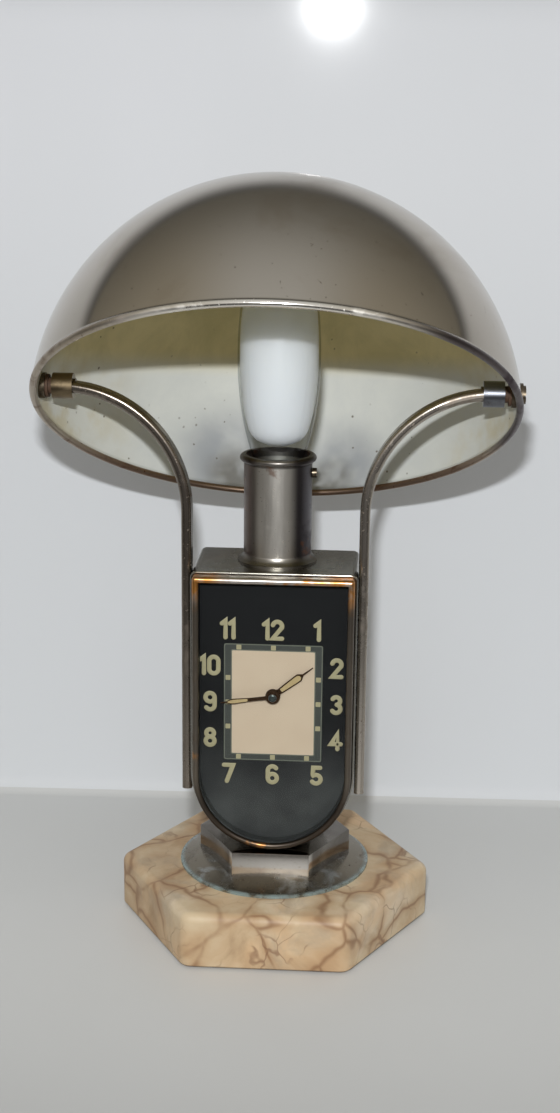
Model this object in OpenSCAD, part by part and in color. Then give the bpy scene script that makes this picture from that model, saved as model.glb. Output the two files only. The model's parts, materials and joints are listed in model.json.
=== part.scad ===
// Table clock lamp: a hexagonal marble base, a U-shaped clock case on a hexagonal foot, a candle bulb
// above the clock, and a domed metal shade that tilts between two bent bar arms.
// Millimetres, +Z up, the clock faces -Y. The origin is the middle of the felt under the base.

/* [Marble base] */
// Thickness of the felt under the marble
felt_t = 1; // [0.6:0.1:3]
// How far the felt stays inside the flats of the marble
felt_inset = 3; // [1:0.5:6]
// Width of the marble hexagon across its flats
marble_af = 120; // [104:1:150]
// Height of the marble
marble_h = 24; // [22:1:40]
// Radius of the upright corners of the marble
marble_corner_r = 6; // [4.5:0.5:12]
// Radius of the rounded top edge of the marble
marble_edge_r = 4; // [1:0.5:4]
// Chamfer round the underside of the marble
marble_chamfer = 0.8; // [0.2:0.1:1.5]
// Radius of the nut recess in the underside
recess_r = 16; // [14:0.5:20]
// Depth of the nut recess
recess_h = 13; // [11:0.5:15]
// Height of the cord hole above the underside of the marble
cord_rise = 7; // [6:0.5:8]
// Radius of the cord hole
cord_hole_r = 4; // [3.6:0.1:4.5]
// Wall of the brass bush in the cord hole
bush_wall = 0.8; // [0.5:0.1:1]
// Radius of the flange of the bush
bush_flange_r = 5.5; // [5:0.1:5.8]

/* [Foot] */
// Radius of the round plate on the marble
disc_r = 42; // [38:0.5:50]
// Thickness of the edge of the round plate
disc_edge_t = 1; // [0.6:0.1:2]
// Rise of the domed top of the round plate
disc_rise = 6; // [3:0.5:8]
// How far the corners of the hexagonal boss stay inside the sides of the case
hex_inset = 1.7; // [0.5:0.1:6]
// Height of the top of the boss above the marble
hex_rise = 14.8; // [11:0.1:20]
// Small bevel round the top of the boss
hex_bevel = 0.5; // [0.2:0.1:1]

/* [Tie rod] */
// Radius of the hollow rod that ties case, foot and marble
rod_r = 5; // [4.5:0.1:5.5]
// Radius of the wire way through the rod
rod_bore_r = 3.5; // [2.5:0.1:3.8]
// Width across flats of the nuts on the rod
nut_af = 17; // [15:0.5:18]
// Height of a nut
nut_h = 5; // [4:0.5:6]
// Thickness of the washer under the marble
washer_t = 1.5; // [1:0.1:2]

/* [Clock case] */
// Half width of the case and radius of its round bottom
case_r = 35.2; // [34:0.2:42]
// Height of the case
case_h = 124.1; // [118:0.5:140]
// Place of the front edge of the case
case_front_y = -22; // [-24:0.5:-21]
// Place of the back edge of the case
case_back_y = 18; // [16:0.5:26]
// Sheet thickness of the case
case_wall = 1.1; // [0.8:0.1:1.4]
// Outer radius of the top corners of the case
case_corner_r = 3; // [2:0.2:6]
// Thickness of the rear cover
cover_t = 1; // [0.8:0.1:1.5]
// How far the rear cover sits inside the back edge
cover_inset = 0.8; // [0.3:0.1:2]

/* [Bezel and glass] */
// Width of the rounded bezel frame seen from the front
bezel_w = 2.8; // [2.2:0.1:4]
// How far the bezel stands out of the case
bezel_out = 6; // [4.5:0.1:8]
// Thickness of the wall of the bezel round the glass
bezel_wall = 1.7; // [1.2:0.1:2]
// Thickness of the flat glass
glass_t = 1.6; // [1.2:0.1:2.5]
// Space between the glass and the dial
dial_gap = 4.5; // [4.3:0.1:6]
// Width of the ring plate that clamps the dial
clamp_w = 5; // [4.2:0.1:7]
// Thickness of the ring plate
clamp_t = 1.5; // [1:0.1:2]
// Radius of the posts that the rear screws reach
post_r = 2.4; // [2:0.1:2.8]
// Space between a post and the wall of the case
post_inset = 1.5; // [1:0.1:2]
// Length of a rear screw in its post
rear_screw_len = 5; // [4:0.5:8]
// Radius of a rear screw
rear_screw_r = 1.08; // [0.9:0.02:1.2]

/* [Dial and hands] */
// Height of the centre of the dial above the underside of the case
dial_rise = 69.5; // [62:0.5:72]
// Thickness of the dial plate
dial_t = 0.8; // [0.5:0.1:1.2]
// Direction of the hour hand, clockwise from twelve
hour_angle = 52; // [0:1:359]
// Direction of the minute hand, clockwise from twelve
minute_angle = 262; // [0:1:359]
// Length of the hour hand to its needle tip
hour_len = 21.5; // [17:0.5:24]
// Length of the broad part of the hour hand
hour_blade = 16; // [12:0.5:16.5]
// Width of the hour hand
hour_w = 3.4; // [2.5:0.1:4]
// Length of the minute hand to its needle tip
minute_len = 22.5; // [19:0.5:25]
// Length of the broad part of the minute hand
minute_blade = 18; // [14:0.5:18.5]
// Width of the minute hand
minute_w = 2.4; // [1.8:0.1:3]
// Radius of the round hub of a hand
hub_r = 3.2; // [2.6:0.1:4]
// Thickness of a hand
hand_t = 0.4; // [0.3:0.05:0.5]

/* [Clockwork] */
// Tooth module of the pinion and wheel that leave the centre arbor
motion_module = 0.3; // [0.25:0.01:0.35]
// Teeth of the cannon pinion
cannon_teeth = 12; // [12]
// Teeth of the minute wheel
minute_wheel_teeth = 36; // [36]
// Teeth of the pinion on the minute wheel
minute_pinion_teeth = 10; // [10]
// Teeth of the hour wheel
hour_wheel_teeth = 40; // [40]
// Tooth module of the spring barrel
barrel_module = 0.42; // [0.38:0.01:0.44]
// Teeth of the spring barrel
barrel_teeth = 72; // [72]
// Teeth of the centre pinion
center_teeth = 12; // [12]
// Length of the drum of the spring barrel
barrel_len = 12; // [8:0.5:13]
// Radius of the centre arbor
arbor_r = 1.1; // [0.9:0.05:1.2]
// Radius of the winding arbor
winder_r = 1.6; // [1.3:0.05:2]
// Half width of the movement
movement_half_w = 28; // [26:0.5:28.5]
// Height of the movement
movement_h = 70; // [68:0.5:74]
// Depth of the movement cover
movement_depth = 21.5; // [20:0.5:23]
// Sheet thickness of the movement cover
movement_wall = 0.7; // [0.5:0.1:1]
// Thickness of the movement plate
plate_t = 1.5; // [1:0.1:2]
// Space between the dial and the movement plate
motion_gap = 5.7; // [5.6:0.1:6]
// Radius of the hand setting knob
knob_r = 5; // [4:0.5:6]
// Thickness of the hand setting knob
knob_h = 5; // [3:0.5:7]
// Half span of the wings of the winding key
key_half = 9; // [7:0.5:10]

/* [Lampholder and bulb] */
// Radius of the lampholder sleeve
sleeve_r = 14.5; // [13.8:0.1:15.5]
// Radius of the flared foot of the sleeve
sleeve_foot_r = 16.9; // [16:0.1:17.4]
// Height of the flare at the foot of the sleeve
sleeve_flare_h = 4; // [2:0.5:6]
// Height of the sleeve
sleeve_h = 46.4; // [43:0.2:50]
// Sheet thickness of the sleeve
sleeve_wall = 0.9; // [0.6:0.1:1.2]
// Radius of the rolled lip at the top of the sleeve
sleeve_lip_r = 16.3; // [15.8:0.1:17]
// Height of the rolled lip
sleeve_lip_h = 3; // [2:0.1:4]
// Radius of the threaded tube between case and sleeve
nipple_r = 5; // [4:0.1:5.5]
// Height of the bottom of the screw socket above the case
socket_rise = 11; // [10:0.5:12]
// Height of the bottom of the bulb cap above the case
cap_rise = 15; // [14:0.5:16]
// Radius of the bulb cap over its thread
cap_r = 6.9; // [6.6:0.1:7.1]
// Height of the bottom of the bulb glass above the case
bulb_seat = 38; // [35:0.5:41]
// Height of the bulb glass
bulb_h = 98; // [85:1:104]
// Greatest radius of the bulb glass
bulb_r = 17.4; // [15:0.1:18.5]
// Radius of the neck of the bulb glass where it enters the cap
bulb_neck_r = 6.3; // [5.8:0.1:6.4]
// Wall of the bulb glass
bulb_wall = 0.9; // [0.6:0.1:1.2]

/* [Arms] */
// Thickness of an arm bar
arm_t = 4.3; // [3.8:0.1:5]
// Width of an arm bar
arm_w = 9; // [7:0.5:12]
// Radius of the rounded edges of the bar
arm_edge_r = 1.7; // [0.5:0.1:1.7]
// Place of the middle of the bars, front to back
arm_y = -12.9; // [-14:0.1:-6]
// How far the end of a bar enters its collar
arm_in_collar = 4.9; // [3:0.1:6]
// Height of the shade pivot above the top of the case
pivot_rise = 75.6; // [73:0.2:86]
// How far an arm reaches below the place where the case starts to round off
arm_below = 11; // [0:0.5:14]
// Radius of the screws that hold an arm to the case
arm_screw_r = 2; // [1.6:0.1:2.2]
// Distance of an arm screw from the round bottom or from the top of the case
arm_screw_inset = 12; // [9:0.5:16]
// Radius of the pivot collar
collar_r = 5.4; // [4.6:0.1:5.8]
// Length of the pivot collar
collar_len = 8.6; // [7:0.1:9]
// Radius of the pivot pin at the end of an arm
pin_r = 3.1; // [2.6:0.1:3.4]
// Radius of the pivot screw
screw_r = 2; // [1.6:0.1:2.2]
// Thickness of the disc of the pivot washer
washer_disc_t = 1.2; // [0.8:0.1:1.6]
// Length of the neck of the pivot washer
washer_neck = 1.6; // [1:0.1:2]

/* [Shade] */
// Radius of the shade at its rim
shade_r = 100; // [96:0.5:112]
// Height of the dome above its rim
shade_h = 94.8; // [86:0.2:100]
// Sheet thickness of the shade
shade_wall = 1; // [0.8:0.1:1.4]
// Radius of the rolled bead of the rim
bead_r = 1.5; // [1.2:0.1:2]
// Height of the pivot above the rim
pivot_above_rim = 9.1; // [8:0.1:14]
// Tilt of the shade, its front edge up
shade_tilt = 32.5; // [-60:0.5:60]
// Radius of the pads that carry the shade on its pivots
pad_r = 5.4; // [4.8:0.1:6]
// Least thickness of a pad inside the shade
pad_t = 1.2; // [0.8:0.1:2]
// Least thickness of a cup outside the shade
cup_t = 0.8; // [0.6:0.1:2]

/* [Hidden] */
$fn = 96;
// Fits: a seated joint, a running joint and the gap left between pieces that turn past each other
seat = 0.02;
running = 0.06;
gap = 0.3;
// Length by which a cut runs past the surface that it opens
over = 1;
base_top_z = felt_t + marble_h;
recess_top_z = felt_t + recess_h;
cord_z = felt_t + cord_rise;
bush_flange_t = 1.2;
// Space round the washer in the recess, and how far the rod passes its lower and its upper nut
washer_space = 2;
rod_past_base_nut = 1.5;
rod_past_case_nut = 2.5;
// Height of the saddle over the floor of the case
saddle_rise = 3.6;
hex_top_z = base_top_z + hex_rise;
hex_side = case_r - hex_inset;
case_bottom_z = hex_top_z + seat;
case_cz = case_bottom_z + case_r;
case_top_z = case_bottom_z + case_h;
case_in_r = case_r - case_wall;
case_in_top = case_top_z - case_wall;
lip_r = bezel_w / 2;
case_in_corner = min(case_corner_r - case_wall, lip_r);
bezel_r = case_in_r - seat * 4;
bezel_top = case_in_top - seat * 4;
bezel_front_y = case_front_y - bezel_out;
bezel_in_r = bezel_r - bezel_w;
pocket_r = bezel_r - bezel_wall;
pocket_top = bezel_top - bezel_wall;
pocket_corner = 0.6;
retainer_corner = 0.5;
clamp_corner = 1;
glass_front_y = bezel_front_y + lip_r;
glass_back_y = glass_front_y + glass_t;
dial_y = glass_back_y + dial_gap;
dial_back_y = dial_y + dial_t;
dial_cz = case_bottom_z + dial_rise;
clamp_back_y = dial_back_y + clamp_t;
cover_back_y = case_back_y - cover_inset;
cover_front_y = cover_back_y - cover_t;
// Space round the two arbors in the rear cover
cover_hole_gap = 1;
plate_front_y = dial_back_y + motion_gap;
plate_back_y = plate_front_y + plate_t;
// How far the middle of the movement lies below the centre of the dial
movement_drop = 2.3;
movement_cz = dial_cz - movement_drop;
movement_corner = 4;
movement_back_y = plate_back_y + movement_depth;
// Wheel planes between the dial and the movement plate
hour_wheel_space = 1.2;
wheel_pitch_y = 2;
hour_wheel_y = dial_back_y + hour_wheel_space;
wheel_t = 0.8;
wheel_holes = 4;
minute_wheel_y = hour_wheel_y + wheel_pitch_y;
pipe_r = 1.6;
hour_pipe_r = 2.3;
// The hands stand in front of the dial in steps, and the arbor passes them
hand_step = 1.4;
arbor_past_hand = 0.5;
hour_hand_y = dial_y - hand_step;
minute_hand_y = hour_hand_y - hand_step;
arbor_front_y = minute_hand_y - arbor_past_hand;
stud_dx = motion_module * (cannon_teeth + minute_wheel_teeth) / 2;
hour_module = 2 * stud_dx / (minute_pinion_teeth + hour_wheel_teeth);
stud_r = 0.6;
stud_tip = 0.5;
// The barrel stands off the movement plate, and its drum is a step smaller than its teeth
barrel_space = 1.5;
barrel_cz = dial_cz - barrel_module * (barrel_teeth + center_teeth) / 2;
barrel_front_y = plate_back_y + barrel_space;
barrel_flange_t = 2;
barrel_step = 1;
barrel_drum_r = barrel_module * barrel_teeth / 2 - barrel_step;
// Space between the rear cover and the knob, and between the cover and the key
knob_space = 2;
key_space = 3;
knob_front_y = cover_back_y + knob_space;
key_front_y = cover_back_y + key_space;
// Posts for the rear screws: two near the top corners, two by the round bottom
post_at_r = case_in_r - post_r - post_inset;
low_post_angle = 50;
post_places = [for (s = [-1, 1]) [s * post_at_r, case_in_top - post_r - post_inset],
    for (s = [-1, 1]) [s * post_at_r * cos(low_post_angle), case_cz - post_at_r * sin(low_post_angle)]];
pillar_r = 1.6;
pillar_space = 1.2;
pillar_inset = 2 * pillar_r + pillar_space;
pillar_places = [for (sx = [-1, 1], sz = [-1, 1])
    [sx * (movement_half_w - pillar_inset), movement_cz + sz * (movement_h / 2 - pillar_inset)]];
pivot_z = case_top_z + pivot_rise;
// The shade is a cap of a sphere: its radius and how far the centre lies below the rim
sphere_r = (shade_r * shade_r + shade_h * shade_h) / (2 * shade_h);
sphere_drop = sphere_r - shade_h;
sphere_in_r = sphere_r - shade_wall;
sphere_below_pivot = pivot_above_rim + sphere_drop;
// Share of the bead's radius by which its middle lies inside the rim
bead_share = 0.6;
// The pads reach in from the wall at their far edge, the cups reach out from it at their near edge
pad_far = abs(sphere_below_pivot) + pad_r;
cup_near = max(abs(sphere_below_pivot) - pad_r, 0);
pad_in_x = sqrt(pow(sphere_in_r, 2) - pow(pad_far, 2)) - pad_t;
cup_out_x = sqrt(pow(sphere_r, 2) - pow(cup_near, 2)) + cup_t;
washer_gap = 0.1;
washer_in_x = pad_in_x - washer_gap - washer_disc_t;
collar_end_x = washer_in_x - washer_neck;
collar_start_x = collar_end_x - collar_len;
// A bar stands beside the case, bends outwards below the pivot and ends in its collar
// Space between a bar and the side of the case
arm_space = 0.1;
arm_in_x = case_r + arm_space;
arm_x = arm_in_x + arm_t / 2;
arm_end_x = collar_start_x + arm_in_collar;
arm_bend_r = arm_end_x - arm_x;
arm_bend_z = pivot_z - arm_bend_r;
// How far the lower side of the bar still lies below its end where it enters the collar
arm_dip = arm_bend_r + arm_t / 2 - sqrt(pow(arm_bend_r + arm_t / 2, 2) - pow(arm_in_collar + over, 2));
screw_head_r = 3.8;
screw_head_h = 1;
screw_slot = 0.9;
screw_slot_depth = 0.5;
screw_tip_gap = 0.5;
// How much narrower the washers and the cups are than the pads
pad_step = 0.6;
socket_z = case_top_z + socket_rise;
cap_z = case_top_z + cap_rise;
cap_top_z = case_top_z + bulb_seat;

// Sweep of a flat outline in X and Z between two places along Y
module along_y(y0, y1) {
    translate([0, y1, 0])
        rotate([90, 0, 0])
            linear_extrude(y1 - y0)
                children();
}

// Outline of the case: round below, straight sides, two small corners at the top
module u_outline(r, top, corner) {
    translate([0, case_cz])
        circle(r);
    translate([-r, case_cz])
        square([2 * r, top - corner - case_cz]);
    translate([corner - r, case_cz])
        square([2 * (r - corner), top - case_cz]);
    for (s = [-1, 1])
        translate([s * (r - corner), top - corner])
            circle(corner);
}

// Round bar along the outline of the case, r and top being those of its centre line.
// Its top corners are bent where there is room for it, and otherwise end in a ball
module u_bead(y, r, top, corner, bar_r) {
    bend = corner > bar_r ? corner : 0;
    translate([0, y, case_cz])
        rotate([-90, 0, 0])
            rotate_extrude(angle = 180)
                translate([r, 0])
                    circle(bar_r, $fn = 48);
    for (s = [-1, 1]) {
        translate([s * r, y, case_cz])
            cylinder(h = top - bend - case_cz, r = bar_r, $fn = 48);
        translate([s * (r - bend), y, top - bend])
            if (bend > 0)
                rotate([90, 0, 0])
                    rotate([0, 0, s > 0 ? 0 : 90])
                        rotate_extrude(angle = 90)
                            translate([bend, 0])
                                circle(bar_r, $fn = 48);
            else
                sphere(bar_r, $fn = 48);
    }
    translate([bend - r, y, top])
        rotate([0, 90, 0])
            cylinder(h = 2 * (r - bend), r = bar_r, $fn = 48);
}

module pin_y(x, z, y0, y1, r) {
    translate([x, y1, z])
        rotate([90, 0, 0])
            cylinder(h = y1 - y0, r = r);
}

module pin_x(x0, x1, y, z, r) {
    translate([x0, y, z])
        rotate([0, 90, 0])
            cylinder(h = x1 - x0, r = r);
}

module hex_nut(z0, height, af, bore_r) {
    translate([0, 0, z0])
        difference() {
            cylinder(h = height, r = af / sqrt(3), $fn = 6);
            translate([0, 0, -over])
                cylinder(h = height + 2 * over, r = bore_r);
        }
}

// Outline of a toothed wheel; the first tooth points up. A tooth goes so many modules inwards and outwards
// from the pitch circle, and takes these shares of its pitch at the root and at the tip, each side
tooth_in = 1.15;
tooth_out = 0.8;
root_half = 0.25;
tip_half = 0.1;
function tooth_point(pitch_r, m, teeth, i, place) =
    let (root = pitch_r - tooth_in * m,
        tip = pitch_r + tooth_out * m,
        radii = [root, tip, tip, root],
        parts = [-root_half, -tip_half, tip_half, root_half],
        a = 90 + (i + parts[place]) * 360 / teeth)
    radii[place] * [cos(a), sin(a)];
module toothed_wheel(m, teeth, bore_r) {
    difference() {
        polygon([for (i = [0 : teeth - 1], k = [0 : 3]) tooth_point(m * teeth / 2, m, teeth, i, k)]);
        circle(bore_r, $fn = 48);
    }
}

// Spokes of a wheel are left between round holes
module lightened(hole_r, at_r, count) {
    difference() {
        children();
        for (i = [0 : count - 1])
            rotate(i * 360 / count + 45)
                translate([at_r, 0])
                    circle(hole_r, $fn = 48);
    }
}

module at_dial() {
    translate([0, 0, dial_cz])
        children();
}

module marble_corner() {
    rotate_extrude($fn = 32) {
        translate([0, marble_chamfer])
            square([marble_corner_r, marble_h - marble_edge_r - marble_chamfer]);
        square([marble_corner_r - marble_chamfer, marble_h - marble_edge_r]);
        square([marble_corner_r - marble_edge_r, marble_h]);
        intersection() {
            translate([marble_corner_r - marble_edge_r, marble_h - marble_edge_r])
                circle(marble_edge_r, $fn = 32);
            square([marble_corner_r, marble_h]);
        }
    }
}

module marble_base() {
    corner_at = (marble_af / 2 - marble_corner_r) / cos(30);
    color([0.76, 0.66, 0.53])
        difference() {
            hull()
                for (i = [0 : 5])
                    rotate(i * 60)
                        translate([corner_at, 0, felt_t])
                            marble_corner();
            translate([0, 0, felt_t - over])
                cylinder(h = recess_h + over, r = recess_r);
            translate([0, 0, recess_top_z - over])
                cylinder(h = marble_h, r = rod_r + gap);
            pin_y(0, cord_z, recess_r - cord_hole_r, marble_af / 2 + over, cord_hole_r);
        }
}

module base_felt() {
    color([0.2, 0.3, 0.22])
        cylinder(h = felt_t, r = (marble_af / 2 - felt_inset) / cos(30), $fn = 6);
}

module cord_bush() {
    color([0.72, 0.58, 0.3])
        difference() {
            union() {
                pin_y(0, cord_z, recess_r + over, marble_af / 2, cord_hole_r - seat);
                pin_y(0, cord_z, marble_af / 2, marble_af / 2 + bush_flange_t, bush_flange_r);
            }
            pin_y(0, cord_z, recess_r, marble_af / 2 + 2 * over, cord_hole_r - seat - bush_wall);
        }
}

module base_washer() {
    color([0.6, 0.6, 0.6])
        translate([0, 0, recess_top_z - washer_t])
            difference() {
                cylinder(h = washer_t, r = recess_r - washer_space);
                translate([0, 0, -over])
                    cylinder(h = washer_t + 2 * over, r = rod_r + gap);
            }
}

module base_nut() {
    color([0.72, 0.6, 0.36])
        hex_nut(recess_top_z - washer_t - nut_h, nut_h, nut_af, rod_r + seat);
}

// Height of the flat top of the saddle that carries the upper nut of the rod
saddle_top_z = case_bottom_z + case_wall + saddle_rise;

module tie_rod() {
    rod_bottom = recess_top_z - washer_t - nut_h - rod_past_base_nut;
    rod_top = saddle_top_z + nut_h + rod_past_case_nut;
    color([0.66, 0.56, 0.36])
        translate([0, 0, rod_bottom])
            difference() {
                cylinder(h = rod_top - rod_bottom, r = rod_r);
                translate([0, 0, -over])
                    cylinder(h = rod_top - rod_bottom + 2 * over, r = rod_bore_r);
            }
}

// Radius of the domed top of the plate, from its rise over the edge
disc_dome_r = (disc_r * disc_r + disc_rise * disc_rise) / (2 * disc_rise);
disc_dome_z = base_top_z + disc_edge_t + disc_rise - disc_dome_r;

module foot_disc() {
    color([0.6, 0.62, 0.62])
        difference() {
            intersection() {
                translate([0, 0, base_top_z])
                    cylinder(h = disc_edge_t + disc_rise + over, r = disc_r);
                translate([0, 0, disc_dome_z])
                    sphere(disc_dome_r, $fn = 400);
            }
            cylinder(h = hex_top_z, r = rod_r + gap);
        }
}

module foot_hex() {
    color([0.66, 0.67, 0.68])
        difference() {
            union() {
                translate([0, 0, base_top_z])
                    cylinder(h = hex_rise - hex_bevel, r = hex_side, $fn = 6);
                hull() {
                    translate([0, 0, hex_top_z - 2 * hex_bevel])
                        cylinder(h = hex_bevel, r = hex_side, $fn = 6);
                    translate([0, 0, hex_top_z - hex_bevel])
                        cylinder(h = hex_bevel, r = hex_side - hex_bevel, $fn = 6);
                }
            }
            translate([0, 0, disc_dome_z])
                sphere(disc_dome_r + seat, $fn = 400);
            cylinder(h = hex_top_z + over, r = rod_r + gap);
        }
}

module case_saddle() {
    saddle_half = 12;
    color([0.6, 0.6, 0.58])
        difference() {
            intersection() {
                along_y(-saddle_half, saddle_half)
                    translate([0, case_cz])
                        circle(case_in_r - seat);
                translate([-saddle_half, -saddle_half, case_bottom_z])
                    cube([2 * saddle_half, 2 * saddle_half, saddle_top_z - case_bottom_z]);
            }
            cylinder(h = case_cz, r = rod_r + gap);
        }
}

module case_nut() {
    color([0.72, 0.6, 0.36])
        hex_nut(saddle_top_z, nut_h, nut_af, rod_r + seat);
}

module case_shell() {
    color([0.68, 0.68, 0.67])
        difference() {
            union() {
                along_y(case_front_y, case_back_y)
                    u_outline(case_r, case_top_z, case_corner_r);
                u_bead(case_front_y, case_r - case_wall / 2, case_top_z - case_wall / 2,
                    case_corner_r - case_wall / 2, case_wall / 2);
            }
            along_y(case_front_y - over, case_back_y + over)
                u_outline(case_in_r, case_in_top, case_in_corner);
            cylinder(h = case_cz, r = rod_r + gap);
            translate([0, 0, case_cz])
                cylinder(h = case_h, r = nipple_r + gap);
            both_sides()
                for (z = arm_screw_z)
                    pin_x(case_in_r - over, case_r + over, arm_y, z, arm_screw_r + gap / 3);
        }
}

module front_bezel() {
    color([0.74, 0.72, 0.66])
        difference() {
            union() {
                along_y(glass_front_y, dial_back_y)
                    difference() {
                        u_outline(bezel_r, bezel_top, lip_r);
                        u_outline(pocket_r, pocket_top, pocket_corner);
                    }
                u_bead(glass_front_y, bezel_r - lip_r, bezel_top - lip_r, 0, lip_r);
            }
            along_y(glass_front_y, dial_back_y + over)
                u_outline(pocket_r, pocket_top, pocket_corner);
        }
}

module dial_glass() {
    color([0.8, 0.86, 0.88, 0.35])
        along_y(glass_front_y, glass_back_y)
            u_outline(pocket_r - seat * 4, pocket_top - seat * 4, pocket_corner);
}

module glass_retainer() {
    color([0.15, 0.15, 0.15])
        along_y(glass_back_y, dial_y)
            difference() {
                u_outline(pocket_r - seat * 4, pocket_top - seat * 4, pocket_corner);
                u_outline(bezel_in_r, bezel_top - bezel_w, retainer_corner);
            }
}

module dial_plate() {
    color([0.1, 0.1, 0.11])
        difference() {
            along_y(dial_y, dial_back_y)
                u_outline(pocket_r - seat * 4, pocket_top - seat * 4, pocket_corner);
            pin_y(0, dial_cz, dial_y - over, dial_back_y + over, hour_pipe_r + gap);
        }
}

module clamp_frame() {
    hole_front_y = cover_front_y - rear_screw_len - over;
    color([0.62, 0.55, 0.38])
        difference() {
            union() {
                along_y(dial_back_y, clamp_back_y)
                    difference() {
                        u_outline(bezel_r, bezel_top, lip_r);
                        u_outline(bezel_r - clamp_w, bezel_top - clamp_w, clamp_corner);
                    }
                for (p = post_places)
                    pin_y(p[0], p[1], dial_back_y, cover_front_y, post_r);
            }
            for (p = post_places)
                pin_y(p[0], p[1], hole_front_y, cover_front_y + over, rear_screw_r + seat);
        }
}

module rear_cover() {
    color([0.6, 0.6, 0.58])
        difference() {
            along_y(cover_front_y, cover_back_y)
                u_outline(case_in_r - seat * 4, case_in_top - seat * 4, case_in_corner);
            for (p = post_places)
                pin_y(p[0], p[1], cover_front_y - over, cover_back_y + over, rear_screw_r + gap);
            pin_y(0, dial_cz, cover_front_y - over, cover_back_y + over, arbor_r + cover_hole_gap);
            pin_y(0, barrel_cz, cover_front_y - over, cover_back_y + over, winder_r + cover_hole_gap);
        }
}

module rear_screws() {
    head_r = post_r - gap / 3;
    head_h = 1.4;
    slot_w = 0.6;
    color([0.7, 0.7, 0.68])
        for (p = post_places) {
            pin_y(p[0], p[1], cover_front_y - rear_screw_len, cover_back_y, rear_screw_r);
            difference() {
                pin_y(p[0], p[1], cover_back_y, cover_back_y + head_h, head_r);
                translate([p[0] - head_r - over, cover_back_y + head_h / 2, p[1] - slot_w / 2])
                    cube([2 * (head_r + over), head_h, slot_w]);
            }
        }
}

module dial_pillars() {
    color([0.72, 0.58, 0.3])
        for (p = pillar_places)
            pin_y(p[0], p[1], dial_back_y, plate_front_y, pillar_r);
}

module movement_outline(half_w, half_h, corner) {
    translate([0, movement_cz]) {
        square([2 * half_w, 2 * (half_h - corner)], center = true);
        square([2 * (half_w - corner), 2 * half_h], center = true);
        for (sx = [-1, 1], sz = [-1, 1])
            translate([sx * (half_w - corner), sz * (half_h - corner)])
                circle(corner, $fn = 48);
    }
}

module movement_plate() {
    color([0.75, 0.62, 0.33])
        difference() {
            along_y(plate_front_y, plate_back_y)
                movement_outline(movement_half_w, movement_h / 2, movement_corner);
            pin_y(0, dial_cz, plate_front_y - over, plate_back_y + over, arbor_r + running);
            pin_y(0, barrel_cz, plate_front_y - over, plate_back_y + over, winder_r + running);
        }
}

module movement_cover() {
    in_half_w = movement_half_w - movement_wall;
    color([0.7, 0.68, 0.6])
        difference() {
            along_y(plate_back_y, movement_back_y)
                movement_outline(movement_half_w, movement_h / 2, movement_corner);
            along_y(plate_back_y - over, movement_back_y - movement_wall)
                movement_outline(in_half_w, movement_h / 2 - movement_wall, movement_corner - movement_wall);
            pin_y(0, dial_cz, movement_back_y - 2 * over, movement_back_y + over, arbor_r + running);
            pin_y(0, barrel_cz, movement_back_y - 2 * over, movement_back_y + over, winder_r + running);
        }
}

module minute_stud() {
    color([0.7, 0.7, 0.7])
        pin_y(stud_dx, dial_cz, hour_wheel_y - stud_tip, plate_front_y, stud_r);
}

module holder_nipple() {
    nipple_wall = 1.5;
    nipple_bottom = case_in_top - nut_h - nipple_past_nut;
    nipple_top = case_top_z + nipple_rise;
    color([0.7, 0.6, 0.36])
        translate([0, 0, nipple_bottom])
            difference() {
                cylinder(h = nipple_top - nipple_bottom, r = nipple_r);
                translate([0, 0, -over])
                    cylinder(h = nipple_top - nipple_bottom + 2 * over, r = nipple_r - nipple_wall);
            }
}

module nipple_nut() {
    color([0.72, 0.6, 0.36])
        hex_nut(case_in_top - nut_h, nut_h, nut_af, nipple_r + seat);
}

sleeve_in_r = sleeve_r - sleeve_wall;
sleeve_top_z = case_top_z + sleeve_h;
holder_floor = 1.2;
// Edge of the flared foot of the sleeve
foot_edge_h = 0.6;
// The threaded tube passes its nut below and stands above the case
nipple_past_nut = 2;
nipple_rise = 8;
// Side screw of the lampholder: its place under the lip, its radius and its depth in the body
holder_screw_drop = 8;
holder_screw_z = sleeve_top_z - holder_screw_drop;
holder_screw_r = 1.3;
holder_screw_in = 2.4;
// Lampholder body, screw socket and contacts
holder_below_glass = 4;
socket_space = 1.2;
socket_wall = 0.8;
socket_floor = 1;
socket_hole_r = 3.4;
contact_r = 2;
contact_foot_r = 1.5;
wire_hole_r = 1.6;
// Bulb cap: centre contact, step, shoulder, and the rounded crests of its thread
tip_r = 2.4;
tip_h = 2;
step_r = 5;
step_h = 4;
step_lap = 0.5;
crest_r = 0.9;
crest_pitch = 2.6;
thread_depth = 0.4;

module holder_sleeve() {
    flare_r = sleeve_foot_r - sleeve_r;
    lip_bar = sleeve_lip_h / 2;
    color([0.6, 0.58, 0.55])
        difference() {
            union() {
                translate([0, 0, case_top_z])
                    cylinder(h = sleeve_h - lip_bar, r = sleeve_r);
                translate([0, 0, case_top_z])
                    rotate_extrude()
                        difference() {
                            square([sleeve_foot_r, sleeve_flare_h]);
                            translate([sleeve_r + sleeve_flare_h, sleeve_flare_h + foot_edge_h])
                                circle(sleeve_flare_h);
                            translate([sleeve_foot_r + flare_r, 0])
                                square([over, sleeve_flare_h]);
                        }
                translate([0, 0, sleeve_top_z - lip_bar])
                    rotate_extrude()
                        union() {
                            translate([0, -lip_bar])
                                square([sleeve_lip_r - lip_bar, sleeve_lip_h]);
                            translate([sleeve_lip_r - lip_bar, 0])
                                circle(lip_bar, $fn = 48);
                        }
            }
            translate([0, 0, case_top_z + holder_floor])
                cylinder(h = sleeve_h, r = sleeve_in_r);
            translate([0, 0, case_top_z - over])
                cylinder(h = 3 * over + holder_floor, r = nipple_r + gap);
            pin_x(0, sleeve_r + over, 0, holder_screw_z, holder_screw_r + seat);
        }
}

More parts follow.
